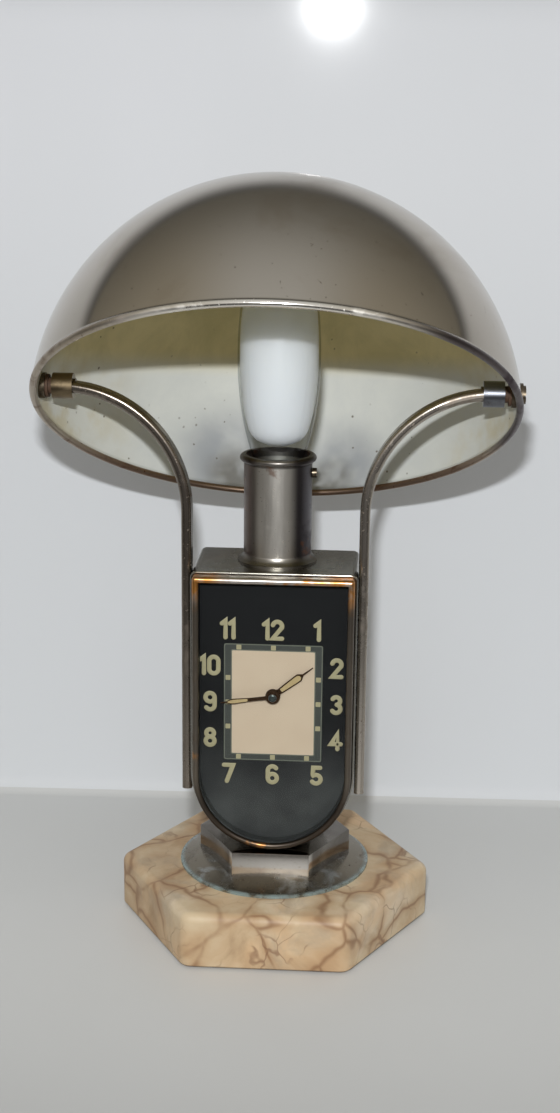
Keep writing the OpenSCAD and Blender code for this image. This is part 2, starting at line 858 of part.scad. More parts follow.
module lampholder() {
    body_r = sleeve_in_r - seat * 5;
    body_top = cap_top_z - holder_below_glass;
    color([0.85, 0.82, 0.75])
        difference() {
            translate([0, 0, case_top_z + holder_floor])
                cylinder(h = body_top - case_top_z - holder_floor, r = body_r);
            translate([0, 0, socket_z])
                cylinder(h = body_top, r = cap_r + socket_space);
            translate([0, 0, case_top_z])
                cylinder(h = nipple_rise + gap, r = nipple_r + seat);
            translate([0, 0, case_top_z])
                cylinder(h = sleeve_h, r = wire_hole_r);
            pin_x(body_r - holder_screw_in - seat, body_r + over, 0, holder_screw_z, holder_screw_r + seat);
        }
}

module socket_shell() {
    shell_top_z = cap_top_z - holder_below_glass - step_lap;
    color([0.75, 0.6, 0.3])
        translate([0, 0, socket_z])
            difference() {
                cylinder(h = shell_top_z - socket_z, r = cap_r + socket_space - seat);
                translate([0, 0, socket_floor])
                    cylinder(h = sleeve_h, r = cap_r + socket_space - socket_wall);
                translate([0, 0, -over])
                    cylinder(h = 3 * over, r = socket_hole_r);
            }
}

module socket_contact() {
    color([0.75, 0.6, 0.3]) {
        translate([0, 0, socket_z])
            cylinder(h = cap_z - socket_z - seat, r = contact_r);
        translate([0, 0, socket_z - contact_r])
            cylinder(h = contact_r, r = contact_foot_r);
    }
}

module holder_screw() {
    head_r = 2.1;
    head_h = 1.8;
    head_gap = 0.1;
    slot_w = 0.6;
    slot_h = 0.8;
    head_x = sleeve_r + head_gap;
    color([0.45, 0.33, 0.22])
        difference() {
            union() {
                pin_x(sleeve_in_r - holder_screw_in, head_x + head_gap, 0, holder_screw_z, holder_screw_r);
                pin_x(head_x, head_x + head_h, 0, holder_screw_z, head_r);
            }
            translate([head_x + head_h - slot_h, -head_r - over, holder_screw_z - slot_w / 2])
                cube([slot_h + over, 2 * (head_r + over), slot_w]);
        }
}

module bulb_cap() {
    color([0.8, 0.8, 0.78])
        rotate_extrude() {
            translate([0, cap_z])
                square([tip_r, tip_h + step_lap]);
            translate([0, cap_z + tip_h])
                square([step_r, step_h - tip_h + step_lap]);
            translate([0, cap_z + step_h])
                square([cap_r - thread_depth, cap_top_z - cap_z - step_h]);
            for (z = [cap_z + step_h + tip_h : crest_pitch : cap_top_z - holder_below_glass])
                translate([cap_r - crest_r, z])
                    circle(crest_r, $fn = 32);
        }
}

// Where along its height the glass is widest, and the exponents that shape its shoulder and its tip
bulb_wide_at = 0.49;
bulb_shoulder = 0.81;
bulb_taper = 2.4;
bulb_round = 2.2;
// Closeness of the steps near the tip
bulb_crowding = 1.6;
// Radius of the bulb glass at a share t of its height, from the neck over the shoulder to the tip
function bulb_radius(t) = t < bulb_wide_at
    ? bulb_neck_r + (bulb_r - bulb_neck_r) * pow(sin(90 * t / bulb_wide_at), bulb_shoulder)
    : bulb_r * pow(max(1 - pow((t - bulb_wide_at) / (1 - bulb_wide_at), bulb_taper), 0), 1 / bulb_round);
function bulb_side(r_off, z_off, steps) =
    [for (i = [0 : steps]) let (t = 1 - pow(1 - i / steps, bulb_crowding)) [max(bulb_radius(t) - r_off, 0),
        cap_top_z + t * bulb_h - z_off * t]];

module bulb_glass() {
    steps = 28;
    color([0.86, 0.91, 0.97])
        rotate_extrude()
            difference() {
                polygon(concat([[0, cap_top_z]], bulb_side(0, 0, steps)));
                polygon(concat([[0, cap_top_z - over], [bulb_neck_r - bulb_wall, cap_top_z - over]],
                    bulb_side(bulb_wall, bulb_wall, steps)));
            }
}

// Section of the arm bar, with its four edges rounded
module bar_section() {
    square([arm_t, arm_w - 2 * arm_edge_r], center = true);
    square([arm_t - 2 * arm_edge_r, arm_w], center = true);
    for (sx = [-1, 1], sy = [-1, 1])
        translate([sx * (arm_t / 2 - arm_edge_r), sy * (arm_w / 2 - arm_edge_r)])
            circle(arm_edge_r, $fn = 48);
}

arm_bottom_z = case_cz - arm_below;
arm_screw_z = [case_cz + arm_screw_inset, case_top_z - arm_screw_inset];
arm_screw_share = 0.7;
arm_screw_in = arm_t * arm_screw_share;

// The right arm; the left one is its mirror image
module arm_right() {
    color([0.62, 0.6, 0.57])
        translate([0, arm_y, 0])
            difference() {
                union() {
                    translate([arm_x, 0, arm_bottom_z])
                        linear_extrude(arm_bend_z - arm_bottom_z)
                            bar_section();
                    translate([arm_end_x, 0, arm_bend_z])
                        rotate([90, 0, 0])
                            rotate([0, 0, 90])
                                rotate_extrude(angle = 90)
                                    translate([arm_bend_r, 0])
                                        bar_section();
                    pin_x(collar_start_x - over, collar_end_x, 0, pivot_z, pin_r);
                }
                pin_x(arm_end_x + screw_tip_gap, collar_end_x + over, 0, pivot_z, screw_r + seat);
                for (z = arm_screw_z)
                    pin_x(arm_in_x - over, arm_in_x + arm_screw_in + seat, 0, z, arm_screw_r + seat);
            }
}

module arm_left() {
    mirror([1, 0, 0])
        arm_right();
}

module both_sides() {
    children();
    mirror([1, 0, 0])
        children();
}

module arm_screws() {
    head_edge = 1.6;
    head_r = arm_screw_r + head_edge;
    head_h = 1.8;
    slot_w = 0.8;
    color([0.6, 0.6, 0.58])
        both_sides()
            for (z = arm_screw_z) {
                pin_x(case_in_r, arm_in_x + arm_screw_in, arm_y, z, arm_screw_r);
                difference() {
                    pin_x(case_in_r - head_h, case_in_r, arm_y, z, head_r);
                    translate([case_in_r - head_h - over, arm_y - head_r - over, z - slot_w / 2])
                        cube([over + head_h / 2, 2 * (head_r + over), slot_w]);
                }
            }
}

module pivot_collars() {
    slot_len = arm_in_collar + gap + over;
    slot_w = arm_w + 2 * gap;
    color([0.66, 0.5, 0.38])
        both_sides()
            translate([0, arm_y, pivot_z])
                difference() {
                    pin_x(collar_start_x, collar_end_x, 0, 0, collar_r);
                    pin_x(collar_start_x - over, collar_end_x + over, 0, 0, pin_r + seat);
                    // Slot that the end of the bar enters
                    translate([collar_start_x - over, -slot_w / 2, -arm_t / 2 - arm_dip - seat])
                        cube([slot_len, slot_w, arm_t + arm_dip + 2 * seat]);
                }
}

module pivot_washers() {
    neck_r = pin_r + gap;
    color([0.4, 0.3, 0.2])
        both_sides()
            translate([0, arm_y, pivot_z])
                difference() {
                    union() {
                        pin_x(collar_end_x, washer_in_x, 0, 0, neck_r);
                        pin_x(washer_in_x, pad_in_x - washer_gap, 0, 0, pad_r - pad_step);
                    }
                    pin_x(collar_end_x - over, pad_in_x + over, 0, 0, screw_r + seat);
                }
}

module pivot_screws() {
    head_x = cup_out_x + washer_gap;
    slot_x = head_x + screw_head_h - screw_slot_depth;
    color([0.7, 0.66, 0.58])
        both_sides()
            translate([0, arm_y, pivot_z])
                difference() {
                    union() {
                        pin_x(arm_end_x + 2 * screw_tip_gap, head_x, 0, 0, screw_r);
                        pin_x(head_x, head_x + screw_head_h, 0, 0, screw_head_r);
                    }
                    translate([slot_x, -screw_head_r - over, -screw_slot / 2])
                        cube([screw_slot_depth + over, 2 * (screw_head_r + over), screw_slot]);
                }
}

// Everything of the shade is drawn level, its pivot at the origin, and then tilted
module on_pivot() {
    translate([0, arm_y, pivot_z])
        rotate([-shade_tilt, 0, 0])
            children();
}

module shade_ball(r) {
    translate([0, 0, -sphere_below_pivot])
        sphere(r, $fn = 400);
}

module shade() {
    color([0.6, 0.57, 0.52])
        on_pivot()
            difference() {
                union() {
                    difference() {
                        shade_ball(sphere_r);
                        shade_ball(sphere_in_r);
                        translate([-2 * shade_r, -2 * shade_r, -4 * shade_r - pivot_above_rim])
                            cube([4 * shade_r, 4 * shade_r, 4 * shade_r]);
                    }
                    translate([0, 0, -pivot_above_rim])
                        rotate_extrude()
                            translate([shade_r - bead_r * bead_share, 0])
                                circle(bead_r, $fn = 48);
                }
                pin_x(-2 * shade_r, 2 * shade_r, 0, 0, screw_r + running);
            }
}

module shade_pads() {
    color([0.7, 0.66, 0.58])
        on_pivot()
            both_sides()
                difference() {
                    intersection() {
                        pin_x(pad_in_x, sphere_r, 0, 0, pad_r);
                        shade_ball(sphere_in_r - seat);
                    }
                    pin_x(pad_in_x - over, sphere_r, 0, 0, screw_r + running);
                }
}

module shade_cups() {
    cup_depth = 3;
    color([0.7, 0.66, 0.58])
        on_pivot()
            both_sides()
                difference() {
                    pin_x(sphere_in_r - cup_depth, cup_out_x, 0, 0, pad_r - pad_step);
                    shade_ball(sphere_r + seat);
                    pin_x(sphere_in_r - cup_depth - over, cup_out_x + over, 0, 0, screw_r + running);
                }
}

// Outline of a hand that points up: a hub, a blade that widens a little and a needle tip
module hand(y, length, blade, width, hole_r) {
    needle_w = 0.5;
    root_share = 0.35;
    shoulder = 3;
    side = [[width * root_share, 0], [width / 2, blade - shoulder], [needle_w / 2, blade],
        [needle_w / 4, length]];
    difference() {
        union() {
            pin_y(0, 0, y, y + hand_t, hub_r);
            along_y(y, y + hand_t)
                polygon(concat(side, [for (i = [3 : -1 : 0]) [-side[i][0], side[i][1]]]));
        }
        pin_y(0, 0, y - over, y + hand_t + over, hole_r);
    }
}

module minute_hand() {
    color([0.12, 0.11, 0.1])
        at_dial()
            rotate([0, minute_angle, 0])
                hand(minute_hand_y, minute_len, minute_blade, minute_w, arbor_r + seat);
}

module center_arbor() {
    arbor_cap_t = 0.7;
    arbor_cap_r = 1.7;
    color([0.66, 0.66, 0.68]) {
        pin_y(0, dial_cz, arbor_front_y, knob_front_y + knob_h, arbor_r);
        pin_y(0, dial_cz, arbor_front_y - arbor_cap_t, arbor_front_y, arbor_cap_r);
    }
}

module cannon_pinion() {
    pipe_gap = 0.1;
    pinion_lead = 0.4;
    color([0.7, 0.7, 0.7])
        at_dial()
            difference() {
                union() {
                    pin_y(0, 0, minute_hand_y + hand_t, plate_front_y - gap, pipe_r - pipe_gap);
                    along_y(minute_wheel_y - pinion_lead, plate_front_y - gap)
                        rotate(-90)
                            toothed_wheel(motion_module, cannon_teeth, arbor_r + seat);
                }
                pin_y(0, 0, minute_hand_y, plate_front_y, arbor_r + seat);
            }
}

module center_pinion() {
    color([0.7, 0.7, 0.7])
        at_dial()
            along_y(barrel_front_y, barrel_front_y + barrel_flange_t)
                rotate(180)
                    toothed_wheel(barrel_module, center_teeth, arbor_r + seat);
}

module setting_knob() {
    flutes = 24;
    flute_r = 0.4;
    flute_out = 0.16;
    flute_at_r = knob_r + flute_out;
    knob_back_y = knob_front_y + knob_h;
    color([0.78, 0.64, 0.36])
        at_dial()
            difference() {
                pin_y(0, 0, knob_front_y, knob_back_y, knob_r);
                for (i = [0 : flutes - 1])
                    rotate([0, i * 360 / flutes, 0])
                        pin_y(flute_at_r, 0, knob_front_y - over, knob_back_y + over, flute_r, $fn = 16);
                pin_y(0, 0, knob_front_y - over, knob_back_y + over, arbor_r + seat);
            }
}

// The minute wheel turns on its stud: wheel and pinion in one, half a tooth out to mesh with its neighbours
module minute_wheel() {
    hole_r = 1.1;
    hole_at_r = 3;
    color([0.78, 0.64, 0.36])
        translate([stud_dx, 0, dial_cz])
            difference() {
                union() {
                    along_y(minute_wheel_y, minute_wheel_y + wheel_t)
                        rotate(90 + 180 / minute_wheel_teeth)
                            lightened(hole_r, hole_at_r, wheel_holes)
                                toothed_wheel(motion_module, minute_wheel_teeth, stud_r);
                    along_y(hour_wheel_y - gap, minute_wheel_y)
                        rotate(90)
                            toothed_wheel(hour_module, minute_pinion_teeth, stud_r);
                }
                pin_y(0, 0, dial_back_y, plate_front_y, stud_r + running);
            }
}

module hour_wheel() {
    hole_r = 0.9;
    hole_at_r = 3.8;
    color([0.78, 0.64, 0.36])
        at_dial()
            difference() {
                union() {
                    along_y(hour_wheel_y, hour_wheel_y + wheel_t)
                        rotate(-90 + 180 / hour_wheel_teeth)
                            lightened(hole_r, hole_at_r, wheel_holes)
                                toothed_wheel(hour_module, hour_wheel_teeth, pipe_r);
                    pin_y(0, 0, hour_hand_y, hour_wheel_y + wheel_t, hour_pipe_r);
                }
                pin_y(0, 0, hour_hand_y - over, minute_wheel_y, pipe_r);
            }
}

module hour_hand() {
    color([0.12, 0.11, 0.1])
        at_dial()
            rotate([0, hour_angle, 0])
                hand(hour_hand_y, hour_len, hour_blade, hour_w, hour_pipe_r + seat);
}

module spring_barrel() {
    color([0.78, 0.64, 0.36])
        translate([0, 0, barrel_cz])
            difference() {
                union() {
                    along_y(barrel_front_y, barrel_front_y + barrel_flange_t)
                        rotate(180 / barrel_teeth)
                            toothed_wheel(barrel_module, barrel_teeth, winder_r);
                    pin_y(0, 0, barrel_front_y, barrel_front_y + barrel_len, barrel_drum_r);
                }
                pin_y(0, 0, barrel_front_y - over, barrel_front_y + barrel_len + over, winder_r + running);
            }
}

module winding_arbor() {
    color([0.66, 0.66, 0.68])
        pin_y(0, barrel_cz, plate_front_y, key_front_y, winder_r);
}

module winding_key() {
    boss_r = 3;
    boss_h = 7;
    wing_r = 3.6;
    key_turned = 20;
    color([0.78, 0.64, 0.36])
        translate([0, 0, barrel_cz]) {
            pin_y(0, 0, key_front_y, key_front_y + boss_h, boss_r);
            rotate([0, key_turned, 0])
                translate([0, key_front_y + boss_h, 0])
                    key_wings(wing_r);
        }
}

// Two flat round wings on a neck, standing out behind the boss of the key
module key_wings(wing_r) {
    wing_t = 1.4;
    neck_half = 2.2;
    neck_h = wing_r + 1.5;
    web_inset = 0.6;
    eye_share = 0.4;
    translate([0, 0, -wing_t / 2])
        linear_extrude(wing_t)
            difference() {
                union() {
                    translate([-neck_half, -over])
                        square([2 * neck_half, neck_h + over]);
                    translate([-key_half + wing_r, web_inset])
                        square([2 * (key_half - wing_r), 2 * (wing_r - web_inset)]);
                    for (s = [-1, 1])
                        translate([s * (key_half - wing_r), wing_r])
                            circle(wing_r, $fn = 48);
                }
                for (s = [-1, 1])
                    translate([s * (key_half - wing_r), wing_r])
                        circle(wing_r * eye_share, $fn = 32);
            }
}

base_felt();
marble_base();
cord_bush();
base_washer();
base_nut();
tie_rod();
foot_disc();
foot_hex();
case_saddle();
case_nut();
case_shell();
front_bezel();
dial_glass();
glass_retainer();
dial_plate();
clamp_frame();
rear_cover();
rear_screws();
dial_pillars();
movement_plate();
movement_cover();
minute_stud();
holder_nipple();
nipple_nut();
holder_sleeve();
lampholder();
socket_shell();
socket_contact();
holder_screw();
bulb_cap();
bulb_glass();
arm_left();
arm_right();
arm_screws();
pivot_collars();
pivot_washers();
pivot_screws();
shade();
shade_pads();
shade_cups();
minute_hand();
center_arbor();
cannon_pinion();
center_pinion();
setting_knob();
minute_wheel();
hour_hand();
hour_wheel();
spring_barrel();
winding_arbor();
winding_key();
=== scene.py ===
"""Looks of the table clock lamp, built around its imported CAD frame. Metres, +Z up, the dial faces -Y."""

import json
import math

import bmesh
import bpy
from mathutils import Matrix, Vector


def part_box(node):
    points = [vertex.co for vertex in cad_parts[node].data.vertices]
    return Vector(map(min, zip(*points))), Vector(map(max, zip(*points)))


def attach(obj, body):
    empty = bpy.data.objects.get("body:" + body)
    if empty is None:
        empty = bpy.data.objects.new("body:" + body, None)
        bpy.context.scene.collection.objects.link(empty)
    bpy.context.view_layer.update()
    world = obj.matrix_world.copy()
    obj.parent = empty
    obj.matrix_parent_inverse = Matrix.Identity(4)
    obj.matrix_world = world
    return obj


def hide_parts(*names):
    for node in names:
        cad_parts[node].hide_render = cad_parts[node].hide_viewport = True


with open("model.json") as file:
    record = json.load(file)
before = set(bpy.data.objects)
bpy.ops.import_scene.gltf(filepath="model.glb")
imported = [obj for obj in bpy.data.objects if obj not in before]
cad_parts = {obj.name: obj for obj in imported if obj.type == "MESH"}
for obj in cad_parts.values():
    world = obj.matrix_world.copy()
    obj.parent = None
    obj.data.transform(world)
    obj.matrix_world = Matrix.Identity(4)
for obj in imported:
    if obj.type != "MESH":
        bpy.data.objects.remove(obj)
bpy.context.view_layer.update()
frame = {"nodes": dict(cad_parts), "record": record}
nodes = frame["nodes"]
record = frame["record"]
joint_place = {j["name"]: Vector(j["pos_m"]) for j in record["behaviour"]["joints"]}
MM = 0.001

# Camera: place, turn to the left, tilt and roll, and the focal length in pixels of the 560 x 1113 picture
CAMERA_AT = (0.0443, -0.7119, 0.3542)
CAMERA_PAN = 3.47
CAMERA_TILT = -14.84
CAMERA_ROLL = -0.59
FOCAL_PX = 1716.2
PICTURE_H = 1113
SENSOR_H = 36

# Light: a small hard flash close above the camera, as in the photo, and a room that differs by direction.
# Painted shade darkens the wall towards its top edge and the floor towards its front edge.
FLASH_AT = (0.026, -0.712, 0.448)
FLASH_SIZE = (0.034, 0.012)
FLASH_POWER = 4.15
FLASH_COLOUR = (0.97, 0.985, 1.0)
FLASH_AIM = (0, 0, 0.16)
WALL_Y = 0.13
WALL_H = 0.475
WALL_FADE = 0.386
WALL_ROUND = 0.008
WALL_TURN = math.radians(1.33)
FLOOR_FRONT_Y = -0.4
FLOOR_FADE_Y = -0.02
ROOM_SIDE = (0.06, 0.056, 0.05, 1)
ROOM_FRONT = (0.33, 0.31, 0.29, 1)
ROOM_TOP = (0.53, 0.53, 0.52, 1)
ROOM_TOP_SIDE = (0.4, 0.37, 0.31, 1)
ROOM_TOP_BACK = (0.12, 0.113, 0.094, 1)
ROOM_BELOW = (0.06, 0.057, 0.055, 1)
STAGE_HALF = 2.5

# Measures that repeat driving sizes of the CAD source
SHADE_TILT = math.radians(32.5)
SHADE_R = 100 * MM
SHADE_H = 94.8 * MM
SHADE_WALL = 1 * MM
BEAD_R = 1.5 * MM
PIVOT_ABOVE_RIM = 9.1 * MM
HOUR_ANGLE = math.radians(52)
MINUTE_ANGLE = math.radians(262)
MARBLE_CORNER_R = 6 * MM
MARBLE_EDGE_R = 4 * MM
MARBLE_CHAMFER = 0.8 * MM
CORD_HOLE_R = 4 * MM
CORD_HOLE_START_Y = 15 * MM
CORD_HOLE_LENGTH = 50 * MM
BOSS_BEVEL = 0.5 * MM
BULB_NECK_R = 6.3 * MM

# Fineness of the meshes: radius of a closed tip, segments of turned forms, steps of a small corner
TIP_R = 0.2 * MM
APEX_CUT = 0.001
SHADE_SEGMENTS = 192
BULB_SEGMENTS = 96
SMALL_SEGMENTS = 48
CORNER_STEPS = 6
WELD_DISTANCE = 1e-7

# Places of the colour sockets of a Mix node
MIX_FIRST = 6
MIX_SECOND = 7
MIX_RESULT = 2

dial_at = joint_place["minute_turn"]
pivot_at = joint_place["shade_tilt"]
shade_axis = Vector((0, math.sin(SHADE_TILT), math.cos(SHADE_TILT)))
dial_front_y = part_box("dial_plate")[0].y
rim_front_at = pivot_at + Matrix.Rotation(-SHADE_TILT, 3, "X") @ Vector((0, -SHADE_R, -PIVOT_ABOVE_RIM))


def srgb(red, green, blue):
    """Linear colour of an 8-bit screen colour."""
    def linear(value):
        share = value / 255
        return share / 12.92 if share <= 0.04045 else ((share + 0.055) / 1.055) ** 2.4
    return (linear(red), linear(green), linear(blue), 1)


# Materials

class Paint:
    """A node material with short calls for the nodes that it needs."""

    def __init__(self, name):
        self.material = bpy.data.materials.new(name)
        self.material.use_nodes = True
        self.nodes = self.material.node_tree.nodes
        self.links = self.material.node_tree.links
        self.nodes.clear()
        self.shader = self.nodes.new("ShaderNodeBsdfPrincipled")
        self.output = self.nodes.new("ShaderNodeOutputMaterial")
        self.links.new(self.shader.outputs[0], self.output.inputs["Surface"])
        self.coords = self.nodes.new("ShaderNodeTexCoord").outputs["Object"]

    def put(self, value, socket):
        """Sets a socket to a number or colour, or links it to another socket."""
        if isinstance(value, bpy.types.NodeSocket):
            self.links.new(value, socket)
        else:
            socket.default_value = value

    def set(self, **values):
        for name, value in values.items():
            self.put(value, self.shader.inputs[name.replace("_", " ").title().replace("Ior", "IOR")])

    def noise(self, scale, detail=3.0, roughness=0.5, distortion=0.0, at=None):
        node = self.nodes.new("ShaderNodeTexNoise")
        self.put(at or self.coords, node.inputs["Vector"])
        node.inputs["Scale"].default_value = scale
        node.inputs["Detail"].default_value = detail
        node.inputs["Roughness"].default_value = roughness
        node.inputs["Distortion"].default_value = distortion
        return node.outputs["Fac"]

    def cells(self, scale, feature="DISTANCE_TO_EDGE", at=None):
        node = self.nodes.new("ShaderNodeTexVoronoi")
        node.feature = feature
        self.put(at or self.coords, node.inputs["Vector"])
        node.inputs["Scale"].default_value = scale
        return node.outputs["Distance"]

    def stretch(self, factors):
        node = self.nodes.new("ShaderNodeMapping")
        self.put(self.coords, node.inputs["Vector"])
        node.inputs["Scale"].default_value = factors
        return node.outputs[0]

    def warp(self, amount, scale):
        """Coordinates moved about by a soft noise."""
        node = self.nodes.new("ShaderNodeTexNoise")
        self.put(self.coords, node.inputs["Vector"])
        node.inputs["Scale"].default_value = scale
        node.inputs["Detail"].default_value = 3
        centred = self.vector("SUBTRACT", node.outputs["Color"], (0.5, 0.5, 0.5))
        return self.vector("ADD", self.coords, self.vector("SCALE", centred, amount))

    def vector(self, operation, first, second):
        node = self.nodes.new("ShaderNodeVectorMath")
        node.operation = operation
        self.put(first, node.inputs[0])
        self.put(second, node.inputs["Scale"] if operation == "SCALE" else node.inputs[1])
        return node.outputs["Value" if operation in ("LENGTH", "DISTANCE") else "Vector"]

    def math(self, operation, first, second=0.0):
        node = self.nodes.new("ShaderNodeMath")
        node.operation = operation
        self.put(first, node.inputs[0])
        self.put(second, node.inputs[1])
        return node.outputs[0]

    def span(self, value, low, high, start=0.0, end=1.0):
        """Maps a value's stretch from low to high onto start to end, and holds it there."""
        node = self.nodes.new("ShaderNodeMapRange")
        node.interpolation_type = "SMOOTHSTEP"
        for socket, number in zip(node.inputs, (value, low, high, start, end)):
            self.put(number, socket)
        return node.outputs[0]

    def frame_of(self, origin, turn):
        """Moves the coordinates to a frame of its own, its X axis kept and the rest turned about it."""
        node = self.nodes.new("ShaderNodeMapping")
        self.put(self.vector("SUBTRACT", self.coords, tuple(origin)), node.inputs["Vector"])
        node.inputs["Rotation"].default_value = (turn, 0, 0)
        self.coords = node.outputs[0]

    def polished_round(self, axis, origin):
        """Brush marks that run round an axis through a place."""
        plain = self.nodes.new("ShaderNodeTexCoord").outputs["Object"]
        across = self.vector("SUBTRACT", plain, tuple(origin))
        along = self.vector("CROSS_PRODUCT", tuple(axis), across)
        world = self.nodes.new("ShaderNodeVectorTransform")
        world.vector_type = "VECTOR"
        world.convert_from = "OBJECT"
        world.convert_to = "WORLD"
        self.put(self.vector("NORMALIZE", along, (0, 0, 0)), world.inputs[0])
        self.put(world.outputs[0], self.shader.inputs["Tangent"])

    def near(self, place, inner, outer):
        """1 within a distance of a place, falling to 0."""
        return self.span(self.vector("DISTANCE", self.coords, place), inner, outer, 1.0, 0.0)

    def part(self, axis):
        node = self.nodes.new("ShaderNodeSeparateXYZ")
        self.put(self.coords, node.inputs[0])
        return node.outputs[axis]

    def ramp(self, value, stops):
        node = self.nodes.new("ShaderNodeValToRGB")
        self.put(value, node.inputs[0])
        ramp = node.color_ramp
        while len(ramp.elements) < len(stops):
            ramp.elements.new(0.5)
        for element, (place, colour) in zip(ramp.elements, stops):
            element.position = place
            element.color = colour
        return node.outputs[0]

    def mix(self, share, first, second):
        node = self.nodes.new("ShaderNodeMix")
        node.data_type = "RGBA"
        self.put(share, node.inputs["Factor"])
        self.put(first, node.inputs[MIX_FIRST])
        self.put(second, node.inputs[MIX_SECOND])
        return node.outputs[MIX_RESULT]

    def bump(self, height, strength, distance):
        node = self.nodes.new("ShaderNodeBump")
        node.inputs["Strength"].default_value = strength
        node.inputs["Distance"].default_value = distance
        self.put(height, node.inputs["Height"])
        self.put(node.outputs[0], self.shader.inputs["Normal"])


def plated_metal(name, clean, tarnish, gloss=0.2, spots=0.35, dents=0.2, spot_scale=90):
    """Old plating: bright, with dull tarnished patches, fine scratches and a slightly wavy surface."""
    paint = Paint(name)
    patches = paint.span(paint.noise(spot_scale, 5, 0.65, 0.6), 0.5, 0.72, 0.0, spots)
    specks = paint.span(paint.noise(spot_scale * 14, 2), 0.66, 0.74, 0.0, spots)
    dull = paint.math("MAXIMUM", patches, specks)
    scratches = paint.noise(1200, 2, at=paint.stretch((1, 1, 0.06)))
    paint.set(base_color=paint.mix(dull, clean, tarnish), metallic=1.0)
    rough = paint.math("ADD", gloss, paint.math("MULTIPLY", dull, 0.45))
    paint.set(roughness=paint.math("ADD", rough, paint.math("MULTIPLY", scratches, 0.08)))
    waves = paint.math("ADD", paint.noise(28, 2), paint.math("MULTIPLY", scratches, 0.02))
    paint.bump(waves, dents, 0.0012)
    return paint


def marble():
    """Beige and peach cells with grey and red-brown veins, under a polish."""
    paint = Paint("marble_polished")
    moved = paint.warp(0.03, 24)
    cloud = paint.noise(26, 6, 0.6, 0.4, at=moved)
    ground = paint.ramp(cloud, [(0.3, srgb(166, 138, 106)), (0.43, srgb(196, 170, 136)),
                                (0.55, srgb(208, 188, 156)), (0.7, srgb(222, 206, 182))])
    peach = paint.span(paint.noise(18, 3, 0.5, 0.8), 0.5, 0.68, 0.0, 0.55)
    ground = paint.mix(peach, ground, srgb(214, 176, 134))
    grey = paint.span(paint.noise(34, 5, 0.6, 0.5), 0.5, 0.68, 0.0, 0.55)
    ground = paint.mix(grey, ground, srgb(164, 148, 128))
    edges = paint.cells(32, at=moved)
    present = paint.span(paint.noise(40, 3), 0.36, 0.58, 0.2, 1.0)
    halo = paint.math("MULTIPLY", present, paint.span(edges, 0.0, 0.16, 0.55, 0.0))
    ground = paint.mix(halo, ground, srgb(170, 132, 94))
    broad = paint.math("MULTIPLY", present, paint.span(edges, 0.0, 0.04, 0.7, 0.0))
    ground = paint.mix(broad, ground, srgb(134, 98, 68))
    fine = paint.span(paint.cells(62, at=paint.warp(0.022, 46)), 0.0, 0.035, 1.0, 0.0)
    fine = paint.math("MULTIPLY", fine, paint.span(paint.noise(55, 3), 0.46, 0.68, 0.0, 0.7))
    ground = paint.mix(fine, ground, srgb(128, 94, 70))
    paint.set(base_color=ground, specular_ior_level=0.4)
    paint.set(roughness=paint.span(cloud, 0.3, 0.7, 0.56, 0.44))
    paint.bump(paint.noise(700, 3), 0.08, 0.0002)
    return paint.material


def shade_outside():
    """Nickel polished in rings round the dome, brownish with age."""
    paint = Paint("shade_nickel")
    paint.frame_of(pivot_at, SHADE_TILT)
    patches = paint.span(paint.noise(16, 6, 0.62, 0.8), 0.46, 0.74, 0.0, 0.45)
    specks = paint.span(paint.noise(520, 3), 0.68, 0.76, 0.0, 0.5)
    colour = paint.mix(patches, srgb(188, 181, 170), srgb(156, 142, 122))
    paint.set(base_color=paint.mix(specks, colour, srgb(96, 78, 60)), metallic=1.0)
    paint.set(anisotropic=0.6, anisotropic_rotation=0.25)
    paint.set(roughness=paint.math("ADD", 0.15, paint.math("MULTIPLY", patches, 0.12)))
    paint.polished_round(shade_axis, pivot_at)
    paint.bump(paint.noise(14, 2), 0.1, 0.003)
    return paint.material


